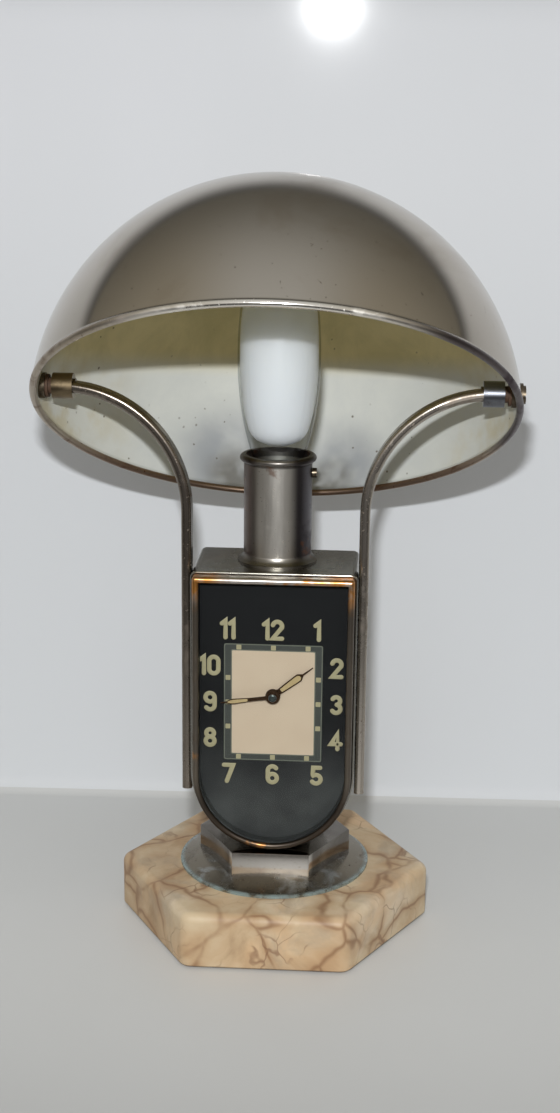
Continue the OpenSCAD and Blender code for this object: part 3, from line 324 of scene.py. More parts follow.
def shade_inside():
    """Cream paint: yellow high inside and at both pivots, greyed and speckled at the back. The yellow high
    inside covers the area in the flash's shadow, as yellowed paint and a painted warm tint of the shade.
    """
    paint = Paint("shade_cream")
    paint.frame_of(pivot_at, SHADE_TILT)
    clouds = paint.noise(20, 5, 0.6, 0.5)
    colour = paint.ramp(clouds, [(0.3, srgb(208, 211, 208)), (0.7, srgb(226, 228, 222))])
    # Painted shade: the yellow tint high inside follows the edge of the flash's shadow.
    depth = paint.math("SUBTRACT", paint.part("Z"), paint.math("MULTIPLY", paint.part("Y"), 0.44))
    yellowing_and_shade_tint = paint.span(depth, 0.004, 0.019, 0.0, 0.9)
    blotches = paint.span(paint.noise(38, 5, 0.65, 0.5), 0.35, 0.65)
    yellowed_shade_colour = paint.mix(blotches, srgb(234, 218, 158), srgb(214, 200, 138))
    colour = paint.mix(yellowing_and_shade_tint, colour, yellowed_shade_colour)
    spots = paint.math("MAXIMUM", paint.near((-0.028, 0.088, 0.002), 0.008, 0.034),
                       paint.near((0.024, 0.09, 0.0), 0.008, 0.03))
    silver = paint.math("MULTIPLY", spots, paint.span(paint.noise(42, 3, 0.5, 0.2), 0.3, 0.62, 0.4, 0.85))
    colour = paint.mix(silver, colour, srgb(150, 154, 160))
    smudges = paint.math("MAXIMUM", paint.near((-0.024, 0.094, -0.003), 0.004, 0.019),
                         paint.near((0.02, 0.096, -0.004), 0.004, 0.016))
    smudges = paint.math("MULTIPLY", smudges, paint.span(paint.noise(70, 2, 0.5, 0.3), 0.3, 0.62, 0.2, 0.9))
    colour = paint.mix(smudges, colour, srgb(112, 110, 104))
    side = paint.span(paint.math("ABSOLUTE", paint.part("X")), 0.06, 0.1, 0.0, 1.0)
    yellow = paint.math("MULTIPLY", side, paint.span(paint.noise(60, 4), 0.42, 0.66, 0.1, 0.6))
    colour = paint.mix(yellow, colour, srgb(196, 180, 130))
    specks = paint.span(paint.cells(170, "F1", at=paint.warp(0.004, 90)), 0.05, 0.12, 1.0, 0.0)
    specks = paint.math("MULTIPLY", specks, paint.span(paint.noise(34, 3), 0.48, 0.62, 0.0, 0.9))
    colour = paint.mix(specks, colour, srgb(84, 70, 50))
    paint.set(base_color=colour, roughness=0.42, specular_ior_level=0.4)
    paint.bump(paint.noise(420, 3), 0.1, 0.0003)
    return paint.material


def rim_metal():
    """The rolled bead, worn to brown metal. Its front is painted pale, where the photo has a highlight."""
    paint = plated_metal("rim_metal", srgb(176, 164, 148), srgb(98, 64, 48), 0.3, 0.8, 0.04, 50)
    worn = paint.shader.inputs["Base Color"].links[0].from_socket
    front = paint.near(rim_front_at, 0.03, 0.075)
    back = paint.span(paint.part("Y"), 0.0, 0.04, 0.0, 0.6)
    worn = paint.mix(back, worn, srgb(118, 82, 62))
    # The bead's right front is painted dark blue-grey.
    right = paint.math("MULTIPLY", paint.span(paint.part("X"), 0.04, 0.07, 0.0, 0.8),
                       paint.span(paint.part("Y"), 0.0, 0.02, 1.0, 0.0))
    worn = paint.mix(right, worn, srgb(62, 56, 68))
    paint.set(base_color=paint.mix(front, worn, srgb(252, 248, 240)))
    rough = paint.shader.inputs["Roughness"].links[0].from_socket
    polished = paint.math("MULTIPLY", paint.near(rim_front_at, 0.015, 0.06), 0.18)
    paint.set(roughness=paint.math("SUBTRACT", rough, polished))
    return paint.material


def chrome():
    return plated_metal("chrome_aged", srgb(150, 148, 141), srgb(82, 70, 58), 0.18, 0.3, 0.14, 70).material


def boss_metal():
    """Polished chrome of the hexagon, with a painted dark reflection in blotches on its top and at its left
    and right.
    """
    paint = plated_metal("chrome_boss", srgb(198, 193, 186), srgb(112, 98, 86), 0.09, 0.3, 0.05, 60)
    clean = paint.shader.inputs["Base Color"].links[0].from_socket
    top_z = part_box("foot_hex")[1].z
    # Painted reflection: the top and the left and right faces are darkened.
    top = paint.span(paint.part("Z"), top_z - 0.0007, top_z - 0.0001, 0.0, 0.8)
    sides = paint.span(paint.math("ABSOLUTE", paint.part("X")), 0.0171, 0.0186, 0.0, 0.75)
    blotches = paint.span(paint.noise(60, 4), 0.3, 0.6, 0.7, 1.0)
    dark_reflection = paint.math("MULTIPLY", paint.math("MAXIMUM", top, sides), blotches)
    paint.set(base_color=paint.mix(dark_reflection, clean, srgb(62, 54, 46)))
    return paint.material


def arm_metal():
    """Warm worn nickel of the bent bars, with painted shade on the left one and on the faces behind the
    front faces.
    """
    paint = plated_metal("nickel_arms", srgb(178, 170, 160), srgb(96, 80, 64), 0.2, 0.6, 0.06, 44)
    clean = paint.shader.inputs["Base Color"].links[0].from_socket
    front_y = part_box("arm_left")[0].y
    # Painted shade: the faces behind the front face, and the whole left arm, are darkened.
    painted_shade_behind = paint.span(paint.part("Y"), front_y + 0.0006, front_y + 0.002, 0.0, 0.7)
    clean = paint.mix(paint.span(paint.part("X"), 0.01, -0.01, 0.0, 0.75), clean, srgb(120, 110, 100))
    paint.set(base_color=paint.mix(painted_shade_behind, clean, srgb(86, 72, 60)))
    return paint.material


def foot_metal():
    """Chrome with a green-blue crust at the rim of the foot plate, and pale smudges that are partly a
    painted reflection.
    """
    paint = plated_metal("chrome_foot", srgb(128, 120, 106), srgb(70, 58, 48), 0.2, 0.6, 0.08, 40)
    clean = paint.shader.inputs["Base Color"].links[0].from_socket
    flat = paint.vector("MULTIPLY", paint.coords, (1, 1, 0))
    edge = paint.span(paint.vector("LENGTH", flat, (0, 0, 0)), 0.0396, 0.0419, 0.0, 1.0)
    crust = paint.math("MULTIPLY", edge, paint.span(paint.noise(120, 4, 0.7), 0.3, 0.62, 0.25, 1.0))
    # Pale smudges: dirt and a painted whitish reflection.
    smudge_and_reflection = paint.span(paint.noise(70, 5, 0.65, 0.5), 0.5, 0.66, 0.0, 0.75)
    clean = paint.mix(smudge_and_reflection, clean, srgb(166, 168, 166))
    paint.set(base_color=paint.mix(crust, clean, srgb(134, 152, 152)))
    paint.set(metallic=paint.span(crust, 0.1, 0.9, 1.0, 0.15))
    return paint.material


def bezel_metal():
    """Chrome of the bezel, worn to brass at its upper corners and in patches, with painted shade that
    darkens it under its top strip and more at the bottom.
    """
    paint = plated_metal("chrome_bezel", srgb(196, 190, 184), srgb(112, 86, 62), 0.28, 0.5, 0.1, 80)
    plated = paint.shader.inputs["Base Color"].links[0].from_socket
    low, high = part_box("front_bezel")
    # Painted shade: under the top strip the bezel is darkened, and darker still near the bottom.
    below = paint.span(paint.part("Z"), high.z - 0.014, high.z - 0.005, 0.85, 0.0)
    plated = paint.mix(below, plated, paint.mix(paint.noise(50, 3), srgb(72, 64, 54), srgb(106, 94, 78)))
    bottom = paint.span(paint.part("Z"), low.z + 0.034, low.z + 0.018, 0.0, 0.8)
    plated = paint.mix(bottom, plated, srgb(58, 50, 44))
    spread = paint.noise(150, 4, 0.6)
    worn = 0.0
    for x in (low.x, high.x):
        corner = paint.near((x, low.y, high.z), 0.006, 0.017)
        worn = paint.math("MAXIMUM", worn, paint.math("MULTIPLY", corner, paint.span(spread, 0.3, 0.55)))
    strip = paint.span(paint.part("Z"), high.z - 0.004, high.z - 0.002)
    patches = paint.math("MULTIPLY", strip, paint.span(paint.noise(70, 3), 0.54, 0.62))
    worn = paint.math("MAXIMUM", worn, patches)
    sides = paint.span(paint.noise(46, 5, 0.7), 0.6, 0.7, 0.0, 0.5)
    worn = paint.math("MAXIMUM", worn, sides)
    paint.set(base_color=paint.mix(worn, plated, srgb(198, 138, 74)))
    return paint.material


def sleeve_metal():
    """Nickel of the sleeve: rust-brown patches, and dark reflections painted down both sides, brown at the
    left and blue-grey at the right.
    """
    paint = plated_metal("nickel_sleeve", srgb(214, 210, 202), srgb(96, 78, 66), 0.31, 0.55, 0.05, 50)
    plated = paint.shader.inputs["Base Color"].links[0].from_socket
    # Painted reflections: dark bands down the left and right flanks.
    left = paint.span(paint.part("X"), -0.006, -0.0115, 0.0, 0.92)
    plated = paint.mix(left, plated, paint.mix(paint.noise(70, 3), srgb(58, 40, 32), srgb(84, 62, 50)))
    right = paint.span(paint.part("X"), 0.005, 0.0095, 0.0, 0.92)
    plated = paint.mix(right, plated, paint.mix(paint.noise(70, 3), srgb(44, 42, 56), srgb(64, 58, 62)))
    rust = paint.span(paint.noise(52, 5, 0.68, 0.6), 0.56, 0.66, 0.0, 0.6)
    low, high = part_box("holder_sleeve")
    foot = paint.span(paint.part("Z"), low.z + 0.0045, low.z + 0.003, 0.0, 0.8)
    plated = paint.mix(foot, plated, srgb(104, 100, 92))
    lip = paint.span(paint.part("Z"), high.z - 0.0042, high.z - 0.0034, 0.0, 0.75)
    plated = paint.mix(lip, plated, srgb(66, 60, 58))
    paint.set(base_color=paint.mix(rust, plated, srgb(136, 92, 64)))
    return paint.material


def pivot_metal():
    """Screws, cups and pads of the pivots, browned."""
    return plated_metal("pivot_metal", srgb(108, 98, 84), srgb(62, 50, 40), 0.3, 0.6, 0.1, 140).material


def collar_metal():
    """The left collar has gone copper brown, the right one stayed grey."""
    paint = plated_metal("collar_metal", srgb(112, 114, 120), srgb(66, 60, 56), 0.26, 0.6, 0.15, 120)
    grey = paint.shader.inputs["Base Color"].links[0].from_socket
    left = paint.span(paint.part("X"), -0.04, 0.04, 1.0, 0.0)
    copper = paint.mix(paint.noise(150, 3), srgb(84, 72, 56), srgb(142, 126, 100))
    paint.set(base_color=paint.mix(left, grey, copper))
    return paint.material


def brass():
    return plated_metal("brass_old", srgb(206, 176, 112), srgb(120, 90, 50), 0.24, 0.5, 0.1, 90).material


def steel():
    return plated_metal("steel_plain", srgb(176, 176, 176), srgb(110, 104, 98), 0.3, 0.3, 0.1, 90).material


def dial_paint():
    """Matt black of the dial, dusty and with small pits towards the bottom, where a painted reflection also
    lightens it.
    """
    paint = Paint("dial_black")
    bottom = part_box("dial_plate")[0].z
    # Dusty marks and a painted reflection lighten the lower part.
    downwards = paint.span(paint.part("Z"), dial_at.z - 0.01, bottom + 0.01, 0.0, 1.0)
    dust_and_reflection = paint.math("MULTIPLY", downwards, paint.span(paint.noise(34, 4, 0.55), 0.3, 0.7, 0.4, 1.0))
    colour = paint.mix(dust_and_reflection, srgb(17, 17, 19), srgb(78, 79, 78))
    marks = paint.span(paint.cells(90, "F1", at=paint.warp(0.003, 120)), 0.03, 0.07, 1.0, 0.0)
    marks = paint.math("MULTIPLY", marks, paint.span(paint.noise(60, 2), 0.56, 0.64, 0.0, 0.6))
    paint.set(base_color=paint.mix(marks, colour, srgb(104, 104, 92)))
    paint.set(roughness=0.55, specular_ior_level=0.25)
    return paint.material


def print_paint(name, light, dark, scale=160):
    """Printed or luminous colour with slight blotches."""
    paint = Paint(name)
    paint.set(base_color=paint.mix(paint.noise(scale, 4, 0.6), light, dark), roughness=0.6)
    paint.bump(paint.noise(2400, 2), 0.15, 0.00004)
    return paint.material


def clear_glass(name, tint, gloss=0.03, shine_share=1.0):
    """Thin clear glass that lets light straight through."""
    paint = Paint(name)
    paint.set(base_color=tint, roughness=gloss, transmission_weight=1.0, ior=1.45)
    through = paint.nodes.new("ShaderNodeBsdfTransparent")
    slope = paint.nodes.new("ShaderNodeLayerWeight")
    slope.inputs["Blend"].default_value = 0.5
    edge = paint.span(slope.outputs["Facing"], 0.55, 0.95)
    paint.put(paint.mix(edge, (0.95, 0.965, 0.965, 1), (0.62, 0.64, 0.66, 1)), through.inputs[0])
    shine = paint.nodes.new("ShaderNodeBsdfGlossy")
    shine.inputs["Roughness"].default_value = gloss
    fresnel = paint.nodes.new("ShaderNodeFresnel")
    fresnel.inputs["IOR"].default_value = 1.45
    inside = paint.nodes.new("ShaderNodeNewGeometry").outputs["Backfacing"]
    outside = paint.math("SUBTRACT", 1.0, inside)
    join = paint.nodes.new("ShaderNodeMixShader")
    mirrored = paint.math("MULTIPLY", fresnel.outputs[0], paint.math("MULTIPLY", outside, shine_share))
    paint.put(mirrored, join.inputs[0])
    paint.links.new(through.outputs[0], join.inputs[1])
    paint.links.new(shine.outputs[0], join.inputs[2])
    paint.links.new(join.outputs[0], paint.output.inputs["Surface"])
    return paint.material


def opal_core():
    """White inside coat of the bulb."""
    paint = Paint("opal_white")
    colour = paint.mix(paint.noise(30, 2), srgb(240, 243, 255), srgb(234, 239, 254))
    paint.set(base_color=colour, roughness=0.35, subsurface_weight=0.8)
    paint.set(subsurface_radius=(0.022, 0.0215, 0.0205), subsurface_scale=1.0)
    return paint.material


def felt():
    paint = Paint("felt_green")
    fibres = paint.noise(1400, 5, 0.7)
    paint.set(base_color=paint.mix(fibres, srgb(48, 66, 48), srgb(84, 104, 80)))
    paint.set(roughness=0.95, sheen_weight=0.3)
    paint.bump(fibres, 0.6, 0.0003)
    return paint.material


def ceramic():
    paint = Paint("ceramic_white")
    glaze = paint.mix(paint.noise(60, 4), srgb(226, 220, 204), srgb(206, 196, 174))
    paint.set(base_color=glaze, roughness=0.3)
    return paint.material


def fibre():
    paint = Paint("fibre_brown")
    paint.set(base_color=paint.mix(paint.noise(500, 4), srgb(92, 66, 46), srgb(66, 46, 34)), roughness=0.7)
    return paint.material


# Mesh tools

def add_mesh(name, verts, faces, materials, indices=None):
    mesh = bpy.data.meshes.new(name)
    mesh.from_pydata([tuple(v) for v in verts], [], faces)
    for material in materials:
        mesh.materials.append(material)
    for k, polygon in enumerate(mesh.polygons):
        polygon.use_smooth = True
        if indices:
            polygon.material_index = indices[k]
    mesh.validate()
    work = bmesh.new()
    work.from_mesh(mesh)
    bmesh.ops.recalc_face_normals(work, faces=work.faces)
    work.to_mesh(mesh)
    work.free()
    piece = bpy.data.objects.new(name, mesh)
    bpy.context.collection.objects.link(piece)
    return piece


def stand_in(piece, body, slot, *replaced):
    """Attaches a piece to its body and hides the CAD nodes that it stands for. The slot argument is not
    used.
    """
    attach(piece, body)
    if replaced:
        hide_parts(*replaced)
    return piece


def ring_mesh(name, rings, materials, indices=None):
    """Skin over rings of points, each with the same count, closed at both ends."""
    count = len(rings[0])
    verts = [point for ring in rings for point in ring]
    faces, slots = [], []
    for i in range(len(rings) - 1):
        a, b = i * count, (i + 1) * count
        for k in range(count):
            n = (k + 1) % count
            faces.append((a + k, a + n, b + n, b + k))
            slots.append(indices[i] if indices else 0)
    faces.append(tuple(range(count))[::-1])
    faces.append(tuple(range((len(rings) - 1) * count, len(rings) * count)))
    slots += [0, 0]
    return add_mesh(name, verts, faces, materials, slots)


def lathe(name, profile, materials, segments, indices=None):
    """Turns a profile of (radius, height) round Z."""
    rings = []
    for radius, height in profile:
        angles = [2 * math.pi * k / segments for k in range(segments)]
        rings.append([(radius * math.cos(a), radius * math.sin(a), height) for a in angles])
    return ring_mesh(name, rings, materials, indices)


def arc(centre, radius, start, end, steps):
    """Points on a circle from one angle to another, in degrees."""
    angles = [math.radians(start + (end - start) * k / steps) for k in range(steps + 1)]
    return [(centre[0] + radius * math.cos(a), centre[1] + radius * math.sin(a)) for a in angles]


def on_dial(x, z, lift):
    """Place on the dial, in metres from the middle of its print, lifted towards the viewer."""
    return (dial_at.x + x, dial_front_y - lift, dial_at.z - PRINT_DROP + z)


def brush(points, width, height):
    """Raised stroke along a line of (x, z) points, with round ends: vertices (x, z, lift) and faces."""
    points = [Vector(p) for p in points]
    closed = (points[0] - points[-1]).length < WELD_DISTANCE
    if closed:
        points = points[:-1]
    total = len(points)
    sides = []
    for k in range(total):
        if closed:
            before, after = points[k - 1], points[(k + 1) % total]
        else:
            before, after = points[max(k - 1, 0)], points[min(k + 1, total - 1)]
        into = (points[k] - before).normalized() if (points[k] - before).length > 0 else None
        out = (after - points[k]).normalized() if (after - points[k]).length > 0 else None
        into, out = into or out, out or into
        along = (into + out).normalized()
        stretch = 1 / max(along.dot(into), 0.5)
        sides.append((along, Vector((-along.y, along.x)) * stretch))
    section = [(-1.0, 0.0), (-0.86, 0.75), (-0.5, 1.0), (0.5, 1.0), (0.86, 0.75), (1.0, 0.0)]
    rings = []
    for point, (along, side) in zip(points, sides):
        rings.append([(point + side * s * width / 2, h * height) for s, h in section])
    if not closed:
        caps = []
        for end, sign in ((0, -1), (total - 1, 1)):
            along, side = sides[end]
            cap = []
            for k in range(1, CORNER_STEPS + 1):
                a = math.pi / 2 * k / CORNER_STEPS
                centre = points[end] + along * sign * width / 2 * math.sin(a)
                half = width / 2 * max(math.cos(a), 0.02)
                cap.append([(centre + side * s * half, h * height) for s, h in section])
            caps.append(cap)
        rings = caps[0][::-1] + rings + caps[1]
    count = len(section)
    verts = [(p.x, p.y, lift) for ring in rings for p, lift in ring]
    faces = []
    for i in range(len(rings) if closed else len(rings) - 1):
        a, b = i * count, (i + 1) % len(rings) * count
        faces += [(a + k, b + k, b + k + 1, a + k + 1) for k in range(count - 1)]
    return verts, faces


def flat_piece(name, outline, holes, y_front, y_back, material, place):
    """Plate cut to an outline of (x, z) points, with holes, between two depths."""
    curve = bpy.data.curves.new(name, "CURVE")
    curve.dimensions = "2D"
    curve.fill_mode = "BOTH"
    curve.extrude = (y_back - y_front) / 2
    for line in [outline] + holes:
        spline = curve.splines.new("POLY")
        spline.points.add(len(line) - 1)
        for point, (x, z) in zip(spline.points, line):
            point.co = (x, z, 0, 1)
        spline.use_cyclic_u = True
    source = bpy.data.objects.new(name + "_curve", curve)
    bpy.context.collection.objects.link(source)
    mesh = bpy.data.meshes.new_from_object(source)
    bpy.data.objects.remove(source)
    upright = Matrix.Rotation(math.pi / 2, 4, "X")
    mesh.transform(Matrix.Translation((place[0], (y_front + y_back) / 2, place[2])) @ upright)
    mesh.materials.clear()
    mesh.materials.append(material)
    work = bmesh.new()
    work.from_mesh(mesh)
    bmesh.ops.remove_doubles(work, verts=work.verts, dist=WELD_DISTANCE)
    bmesh.ops.recalc_face_normals(work, faces=work.faces)
    work.to_mesh(mesh)
    work.free()
    piece = bpy.data.objects.new(name, mesh)
    bpy.context.collection.objects.link(piece)
    return piece


def rounded_rectangle(half_w, half_h, corner):
    line = []
    for sx, sz, start in ((1, 1, 0), (-1, 1, 90), (-1, -1, 180), (1, -1, 270)):
        centre = (sx * (half_w - corner), sz * (half_h - corner))
        line += arc(centre, corner, start, start + 90, CORNER_STEPS)
    return line


# Shade: a dome with a rolled bead, nickel outside and cream paint inside

def make_shade():
    sphere_r = (SHADE_R ** 2 + SHADE_H ** 2) / (2 * SHADE_H)
    centre_z = -PIVOT_ABOVE_RIM - (sphere_r - SHADE_H)
    inner_r = sphere_r - SHADE_WALL
    rim_angle = math.asin((-PIVOT_ABOVE_RIM - centre_z) / sphere_r)
    edge_cut = 0.012
    steps = 72
    profile, slots = [], []
    for k in range(steps + 1):
        a = math.pi / 2 - APEX_CUT - (math.pi / 2 - APEX_CUT - rim_angle) * k / steps
        profile.append((sphere_r * math.cos(a), centre_z + sphere_r * math.sin(a)))
        slots.append(0)
    bead_at = (SHADE_R - 0.6 * BEAD_R, -PIVOT_ABOVE_RIM)
    bead = arc(bead_at, BEAD_R, 52, -232, 20)
    profile += bead
    slots += [2] * len(bead)
    for k in range(steps + 1):
        a = rim_angle + edge_cut + (math.pi / 2 - APEX_CUT - rim_angle - edge_cut) * k / steps
        profile.append((inner_r * math.cos(a), centre_z + inner_r * math.sin(a)))
        slots.append(1)
    slots[steps + len(bead)] = 1
    paints = [shade_outside(), shade_inside(), rim_metal()]
    piece = lathe("shade_dome", profile, paints, SHADE_SEGMENTS, slots)
    piece.data.transform(Matrix.Translation(pivot_at) @ Matrix.Rotation(-SHADE_TILT, 4, "X"))
    stand_in(piece, "shade", "shade_metal", "shade")


# Marble base: a hexagon with rounded corners and edges

def make_marble():
    low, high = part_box("marble_base")
    flat = high.y
    corner_at = (flat - MARBLE_CORNER_R) / math.cos(math.radians(30))

    def ring(inset, z):
        points = []
        for k in range(6):
            middle = math.radians(60 * k)
            centre = (corner_at * math.cos(middle), corner_at * math.sin(middle))
            corner = arc(centre, MARBLE_CORNER_R - inset, 60 * k - 30, 60 * k + 30, 10)
            points += [(x, y, z) for x, y in corner]
        return points

    rings = [ring(MARBLE_CHAMFER, low.z), ring(0, low.z + MARBLE_CHAMFER)]
    for k in range(13):
        a = math.pi / 2 * k / 12
        rings.append(ring(MARBLE_EDGE_R * (1 - math.cos(a)), high.z - MARBLE_EDGE_R * (1 - math.sin(a))))
    base = ring_mesh("marble_block", rings, [marble()])
    cutter = lathe("bush_cutter", [(CORD_HOLE_R, 0), (CORD_HOLE_R, CORD_HOLE_LENGTH)], [], SMALL_SEGMENTS)
    cord_z = (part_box("cord_bush")[0].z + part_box("cord_bush")[1].z) / 2
    backwards = Matrix.Rotation(-math.pi / 2, 4, "X")
    cutter.matrix_world = Matrix.Translation((0, CORD_HOLE_START_Y, cord_z)) @ backwards
    cut = base.modifiers.new("cord_hole", "BOOLEAN")
    cut.operation = "DIFFERENCE"
    cut.object = cutter
    cut.solver = "EXACT"
    shaped = bpy.data.meshes.new_from_object(base.evaluated_get(bpy.context.evaluated_depsgraph_get()))
    base.modifiers.clear()
    base.data = shaped
    bpy.data.objects.remove(cutter)
    smooth_by_angle(base, 40)
    stand_in(base, "root", "marble", "marble_base")


def smooth_by_angle(piece, degrees):
    """Smooth shading with edges sharper than an angle kept hard."""
    work = bmesh.new()
    work.from_mesh(piece.data)
    for face in work.faces:
        face.smooth = True
    for edge in work.edges:
        edge.smooth = len(edge.link_faces) != 2 or edge.calc_face_angle() < math.radians(degrees)
    work.to_mesh(piece.data)
    work.free()


# Hexagonal boss with small bevels

def make_boss(material):
    low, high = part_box("foot_hex")
    side = high.x
    bevel = BOSS_BEVEL
    levels = ((0.0, low.z), (0.0, high.z - bevel), (bevel * 0.3, high.z - bevel * 0.3), (bevel, high.z))
    rings = []
    for inset, z in levels:
        ring = []
        for k in range(6):
            for turn in (-1.2, 0, 1.2):
                a = math.radians(60 * k + turn)
                reach = (side - inset) * math.cos(math.radians(30)) / math.cos(math.radians(30 - abs(turn)))
                reach -= 0.12 * MM if turn == 0 else 0
                ring.append((reach * math.cos(a), reach * math.sin(a), z))
        rings.append(ring)
    piece = ring_mesh("foot_boss", rings, [material])
    smooth_by_angle(piece, 31)
    stand_in(piece, "root", "chrome", "foot_hex")


# Bulb: clear outer glass over a white core

def make_bulb():
    low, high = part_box("bulb_glass")
    widest, tall = high.x, high.z - low.z
    neck, share = BULB_NECK_R, 0.49

    def radius(t):
        if t < share:
            return neck + (widest - neck) * math.sin(math.pi / 2 * t / share) ** 0.62
        return widest * max(1 - ((t - share) / (1 - share)) ** 2.4, 0) ** (1 / 2.2)

    steps = 60
    heights = [1 - (1 - k / steps) ** 1.6 for k in range(steps + 1)]
    outline = [(radius(t), low.z + t * tall) for t in heights]
    outline[-1] = (TIP_R, high.z)
    glass = lathe("bulb_envelope", outline, [clear_glass("bulb_clear", (1, 1, 1, 1))], BULB_SEGMENTS)
    stand_in(glass, "root", "opal_glass", "bulb_glass")
    start, end = 0.125, 0.988
    core = []
    for k in range(steps + 1):
        t = start + (end - start) * (1 - (1 - k / steps) ** 1.6)
        wall = (0.9 + 1.2 * (1 - min((t - start) / 0.2, 1)) ** 1.5) * MM
        r = max(radius(t) - wall, TIP_R)
        round_foot = min(1, math.sqrt(max(1 - (1 - min((t - start) / 0.07, 1)) ** 2, 0)) * 0.55 + 0.45)
        core.append((r * round_foot, low.z + t * tall))
    core[-1] = (TIP_R, core[-1][1])
    white = lathe("bulb_core", core, [opal_core()], BULB_SEGMENTS)
    stand_in(white, "root", "opal_glass")


# Dial: cream panel, dark track with fine lines, pale ticks and raised numerals

# The print sits a little below the hands' axis
PRINT_DROP = 3.5 * MM
STROKE = 1.95 * MM
DIGIT_W = 3.9
DIGIT_H = 7.4


def digit_strokes(character):
    """Middle lines of a numeral in millimetres, about its own centre."""
    w, h = DIGIT_W / 2, DIGIT_H / 2
    ring = arc((0, h - w), w, 0, 180, 12) + arc((0, w - h), w, 180, 360, 12)
    six = [arc((0, w - h), w, 90, 450, 24), arc((0, h - w), w, 35, 180, 10) + [(-w, w - h)]]
    strokes = {
        "0": [ring + ring[:1]],
        "1": [[(-1.3, h - 1.3), (0.2, h), (0.2, -h)]],
        "2": [arc((0, h - w), w, 165, -20, 12) + [(-w, -h), (w, -h)]],
        "3": [arc((0, 1.8), 1.7, 150, -80, 12), arc((0, -1.75), 1.85, 80, -150, 14)],
        "4": [[(0.9, -h), (0.9, h), (-w, -1.5), (w + 0.3, -1.5)]],
        "5": [[(1.6, h), (-1.3, h), (-1.5, 0.5)] + arc((-0.1, -1.6), 2.0, 125, -145, 14)],
        "6": six,
        "7": [[(-w, h), (w, h), (-0.7, -h)]],
        "8": [arc((0, 1.85), 1.65, 0, 360, 20), arc((0, -1.75), 1.9, 0, 360, 22)],
        "9": [[(-x, -z) for x, z in line] for line in six],
    }
    return strokes[character]


def make_numerals(material):
    across, near_x = 27 * MM, 19 * MM
    row = 16.3 * MM
    places = {"12": (0, 2 * row), "1": (near_x, 2 * row), "2": (across, row), "3": (across, 0),
              "4": (across, -row), "5": (near_x, -2 * row), "6": (0, -2 * row), "7": (-near_x, -2 * row),
              "8": (-across, -row), "9": (-across, 0), "10": (-across, row), "11": (-near_x, 2 * row)}
    offsets = {"10": (-2.8, 1.6), "11": (-1.6, 1.8), "12": (-2.8, 1.6)}
    for word, (x, z) in places.items():
        verts, faces = [], []
        for character, shift in zip(word, offsets.get(word, (0,))):
            for layer, line in enumerate(digit_strokes(character)):
                points = [((px + shift) * MM, pz * MM) for px, pz in line]
                some, skins = brush(points, STROKE, (0.16 + 0.01 * layer) * MM)
                faces += [tuple(len(verts) + i for i in face) for face in skins]
                verts += [on_dial(x + px, z + pz, lift) for px, pz, lift in some]
        stand_in(add_mesh("numeral_" + word, verts, faces, [material]), "root", "dial_black")


def make_dial_print():
    cream = print_paint("dial_cream", srgb(224, 202, 176), srgb(212, 186, 160), 60)
    line = print_paint("dial_line", srgb(122, 124, 110), srgb(96, 98, 88))
    track = print_paint("dial_track", srgb(58, 60, 56), srgb(72, 74, 68))
    pale = print_paint("dial_pale", srgb(186, 175, 140), srgb(166, 155, 120), 220)
    panel_w, panel_h = 17.6 * MM, 23.2 * MM
    track_w, track_h = 21 * MM, 26.2 * MM
    edge = 0.45 * MM
    place = on_dial(0, 0, 0)

    def plate(name, half_w, half_h, lift, thick, material, hole=None):
        outline = rounded_rectangle(half_w, half_h, 0.8 * MM)
        holes = [rounded_rectangle(hole[0], hole[1], 0.6 * MM)] if hole else []
        y_back = dial_front_y - lift
        piece = flat_piece(name, outline, holes, y_back - thick, y_back, material, place)
        stand_in(piece, "root", "dial_black")

    centre_hole = 2.6 * MM
    disc = arc((0, PRINT_DROP), centre_hole, 0, 350, 35)
    panel = flat_piece("dial_panel", rounded_rectangle(panel_w, panel_h, 0.5 * MM), [disc],
                       dial_front_y - 0.1 * MM, dial_front_y, cream, place)
    stand_in(panel, "root", "dial_black")
    plate("dial_track", track_w, track_h, 0, 0.05 * MM, track, (panel_w, panel_h))
    plate("track_outline", track_w, track_h, 0.05 * MM, 0.04 * MM, line, (track_w - edge, track_h - edge))
    plate("panel_outline", panel_w + edge, panel_h + edge, 0.05 * MM, 0.04 * MM, line, (panel_w, panel_h))
    middle_x, middle_z = (track_w + panel_w) / 2, (track_h + panel_h) / 2
    side_z, top_x = 11 * MM, 14.7 * MM
    ticks = [(x, s * middle_z) for s in (-1, 1) for x in (-top_x, 0, top_x)]
    ticks += [(s * middle_x, z) for s in (-1, 1) for z in (-side_z, 0, side_z)]
    for k, (x, z) in enumerate(ticks):
        outline = [(x + px, z + pz) for px, pz in rounded_rectangle(1.05 * MM, 1.05 * MM, 0.3 * MM)]
        tick = flat_piece(f"tick_{k:02d}", outline, [], dial_front_y - 0.2 * MM, dial_front_y, pale, place)
        stand_in(tick, "root", "dial_black")
    make_numerals(pale)


# Hands: dark frames with luminous paint, a hub disc each

def make_hand(name, node, body, angle, frame_side, paint_side, hub_r, material, lume):
    """Dark hand with an inlay, drawn upright about the dial centre and then turned."""
    low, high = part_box(node)
    turn = Matrix.Translation((dial_at.x, 0, dial_at.z)) @ Matrix.Rotation(angle, 4, "Y")
    hole = arc((0, 0), 1.15 * MM if body == "minute" else 2.35 * MM, 0, 350, 35)
    ring = arc((0, 0), hub_r, 118, 422, 30)
    outline = ring + frame_side + [(-x, z) for x, z in reversed(frame_side)]
    blade = flat_piece(name, outline, [hole], low.y, high.y, material, (0, 0, 0))
    blade.data.transform(turn)
    stand_in(blade, body, "hand_black", node)
    inlay = paint_side + [(-x, z) for x, z in reversed(paint_side)]
    lift = 0.12 * MM
    fill = flat_piece(name + "_lume", inlay, [], low.y - lift, low.y + lift, lume, (0, 0, 0))
    fill.data.transform(turn)
    stand_in(fill, body, "hand_black")


